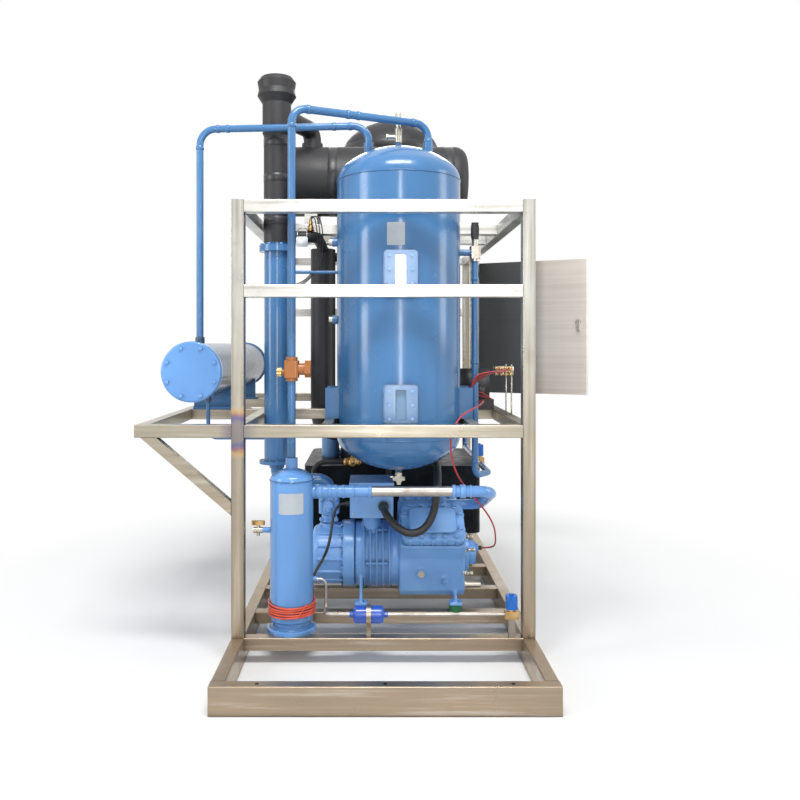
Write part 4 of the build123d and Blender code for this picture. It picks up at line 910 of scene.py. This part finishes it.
piece("trunk_panel", trunk_panel, BLACK)
piece("terminal_stand", terminal_stand, BRIGHT)
piece("terminals", terminals, BRASS)
piece("contactors", contactors, BLACK)
for k in range(6):
    spread, sag = 0.007 * k, 0.012 * (k % 3)
    tube("trunk_wire_" + str(k), [
        (0.300 + spread, -0.098, 0.960), (0.296 + spread, -0.150, 0.955 - sag),
        (0.300 + spread, -0.330, 0.940 - sag), (0.318 + spread, -0.470, 0.960 - sag / 2),
        (0.340 + spread, -0.520, 1.010 + spread / 2), (0.385, -0.530 - spread / 2, 1.070 + spread),
        (0.440 + spread / 2, -0.520, 1.105 + spread / 2), (0.490 + spread, -0.470, 1.120),
        (TERMINAL_X + 0.0115 * k, -0.420, 1.128), (TERMINAL_X + 0.0125 * k, -0.404, 1.130)],
         0.0060, RED if k % 2 else RUBBER)
for k in range(4):
    tube("trunk_loop_" + str(k), [
        (0.300 + 0.02 * k, -0.092, 0.972), (0.310 + 0.02 * k, -0.110, 0.985),
        (0.370 + 0.01 * k, -0.118, 0.992 + 0.008 * k), (0.440, -0.112, 0.988 + 0.010 * k),
        (0.505, -0.098, 0.982 + 0.006 * k), (0.520 + 0.004 * k, -0.080, 0.972)],
         0.005, RED if k % 2 else RUBBER)


# The insulated pipe that drops behind the suction column

tube("insulated_drop_pipe", [
    (-0.290, 0.100, 1.715), (-0.290, 0.100, 1.620), (-0.290, 0.100, 1.400),
    (-0.290, 0.100, 1.150), (-0.290, 0.100, 0.930), (-0.285, 0.110, 0.840),
    (-0.255, 0.200, 0.805), (-0.190, 0.330, 0.800), (-0.120, 0.400, 0.800)], 0.124, FOAM)


# The make-up water line in front of the tank, with its brass valve

WATER_VALVE = (-0.140, 0.010, 0.662)


def water_valve(bm):
    """A hexagon at each end, a ball housing between them and a stem on top."""
    end_r, end_len = 0.019, 0.020
    along = at(*WATER_VALVE) @ TO_RIGHT
    for start in (-0.042, 0.022):
        disc(bm, end_r, start, start + end_len, along, 6, CORE)
    lathe(bm, [(CORE, -0.024), (0.016, -0.022), (0.024, -0.008), (0.024, 0.008), (0.016, 0.022),
               (CORE, 0.024)], along, 28)
    disc(bm, 0.008, 0.020, 0.044, at(*WATER_VALVE), 16, CORE)


def water_valve_lever(bm):
    slab(bm, (0.072, 0.014, 0.004), at(*WATER_VALVE) @ at(0.028, 0, 0.046), 0.0015)


piece("water_valve", water_valve, BRASS)
piece("water_valve_lever", water_valve_lever, BRIGHT)
tube("water_line", [(0.040, 0.170, 0.585), (0.040, 0.120, 0.585), (0.040, 0.040, 0.590),
                    (0.038, 0.010, 0.630), (0.000, 0.010, 0.662), (-0.060, 0.010, 0.662),
                    (-0.140, 0.010, 0.662), (-0.220, 0.010, 0.662), (-0.290, 0.010, 0.662),
                    (-0.330, 0.012, 0.630), (-0.332, 0.040, 0.590), (-0.332, 0.120, 0.585),
                    (-0.332, 0.170, 0.585)], 0.026, FOAM)


# Floor, world and lamps

def studio_rays(tree):
    """One for the rays that look at the background, nought for those that light the object."""
    path = tree.nodes.new("ShaderNodeLightPath")
    total = path.outputs["Is Camera Ray"]
    for ray in ("Is Glossy Ray", "Is Transmission Ray"):
        both = tree.nodes.new("ShaderNodeMath")
        both.operation = "MAXIMUM"
        tree.links.new(total, both.inputs[0])
        tree.links.new(path.outputs[ray], both.inputs[1])
        total = both.outputs[0]
    return total


def stage_floor():
    """A pale floor that takes the shadow near the machine and fades to white farther out."""
    reach_x, reach_y, half, drop = 2.3, 2.6, 30, 0.001
    s = Shader("floor_white")
    s.set(Base_Color=s.mix(s.noise(2, 2), (0.86, 0.86, 0.85), (0.90, 0.90, 0.89)), Roughness=0.7)
    s.set(Specular_IOR_Level=0.1)
    across = s.math("MULTIPLY", s.axis("X"), 1 / reach_x)
    along = s.math("MULTIPLY", s.axis("Y"), 1 / reach_y)
    reach = s.math("SQRT", s.math("ADD", s.math("MULTIPLY", across, across),
                                  s.math("MULTIPLY", along, along)))
    far = s.math("MULTIPLY", s.span(reach, 0.50, 1.0), studio_rays(s.tree))
    glow = s.node("ShaderNodeEmission")
    mix = s.node("ShaderNodeMixShader")
    s.link(far, mix.inputs["Fac"])
    s.link(s.surface.outputs["BSDF"], mix.inputs[1])
    s.link(glow.outputs["Emission"], mix.inputs[2])
    s.link(mix.outputs["Shader"], s.tree.nodes["Material Output"].inputs["Surface"])
    mesh = bpy.data.meshes.new("floor")
    corners = [(-half, -half, 0), (half, -half, 0), (half, half, 0), (-half, half, 0)]
    mesh.from_pydata(corners, [], [(0, 1, 2, 3)])
    mesh.materials.append(s.material)
    floor = bpy.data.objects.new("floor", mesh)
    floor.location.z = -drop
    scene.collection.objects.link(floor)


def world_light():
    """A dim sky that lights the object, and a white one for the rays that look at it."""
    world = bpy.data.worlds.new("studio")
    scene.world = world
    world.use_nodes = True
    nodes, links = world.node_tree.nodes, world.node_tree.links
    nodes.clear()
    dim = nodes.new("ShaderNodeBackground")
    dim.inputs["Color"].default_value = (0.90, 0.94, 1.0, 1)
    dim.inputs["Strength"].default_value = 0.50
    white = nodes.new("ShaderNodeBackground")
    white.inputs["Color"].default_value = (1, 1, 1, 1)
    white.inputs["Strength"].default_value = 1.0
    mix = nodes.new("ShaderNodeMixShader")
    out = nodes.new("ShaderNodeOutputWorld")
    links.new(studio_rays(world.node_tree), mix.inputs["Fac"])
    links.new(dim.outputs[0], mix.inputs[1])
    links.new(white.outputs[0], mix.inputs[2])
    links.new(mix.outputs[0], out.inputs["Surface"])


def softbox(name, place, target, size, power, tint=(1, 1, 1)):
    """A rectangular lamp that looks at its target."""
    data = bpy.data.lights.new(name, "AREA")
    data.shape = "RECTANGLE"
    data.size, data.size_y = size
    data.energy = power
    data.color = tint
    lamp = bpy.data.objects.new(name, data)
    scene.collection.objects.link(lamp)
    lamp.location = place
    away = Vector(place) - Vector(target)
    lamp.rotation_euler = away.to_track_quat("Z", "Y").to_euler()


stage_floor()
world_light()
softbox("key_top", (0.1, -2.6, 4.8), (0.05, -0.4, 1.3), (2.2, 1.0), 150)
softbox("front_strip", (0.20, -4.6, 1.7), (0.05, -0.4, 1.3), (0.34, 2.2), 30)
softbox("fill_left", (-4.2, -2.4, 2.2), (-0.2, 0.0, 1.1), (1.2, 2.4), 62, (0.95, 0.97, 1.0))
softbox("fill_right", (4.4, -0.8, 2.4), (0.3, 0.0, 1.1), (1.2, 2.4), 36, (1.0, 0.97, 0.93))
softbox("back_top", (0.0, 4.2, 4.0), (0.0, 0.3, 1.2), (3.0, 1.4), 70)
scene.view_settings.view_transform = "Standard"
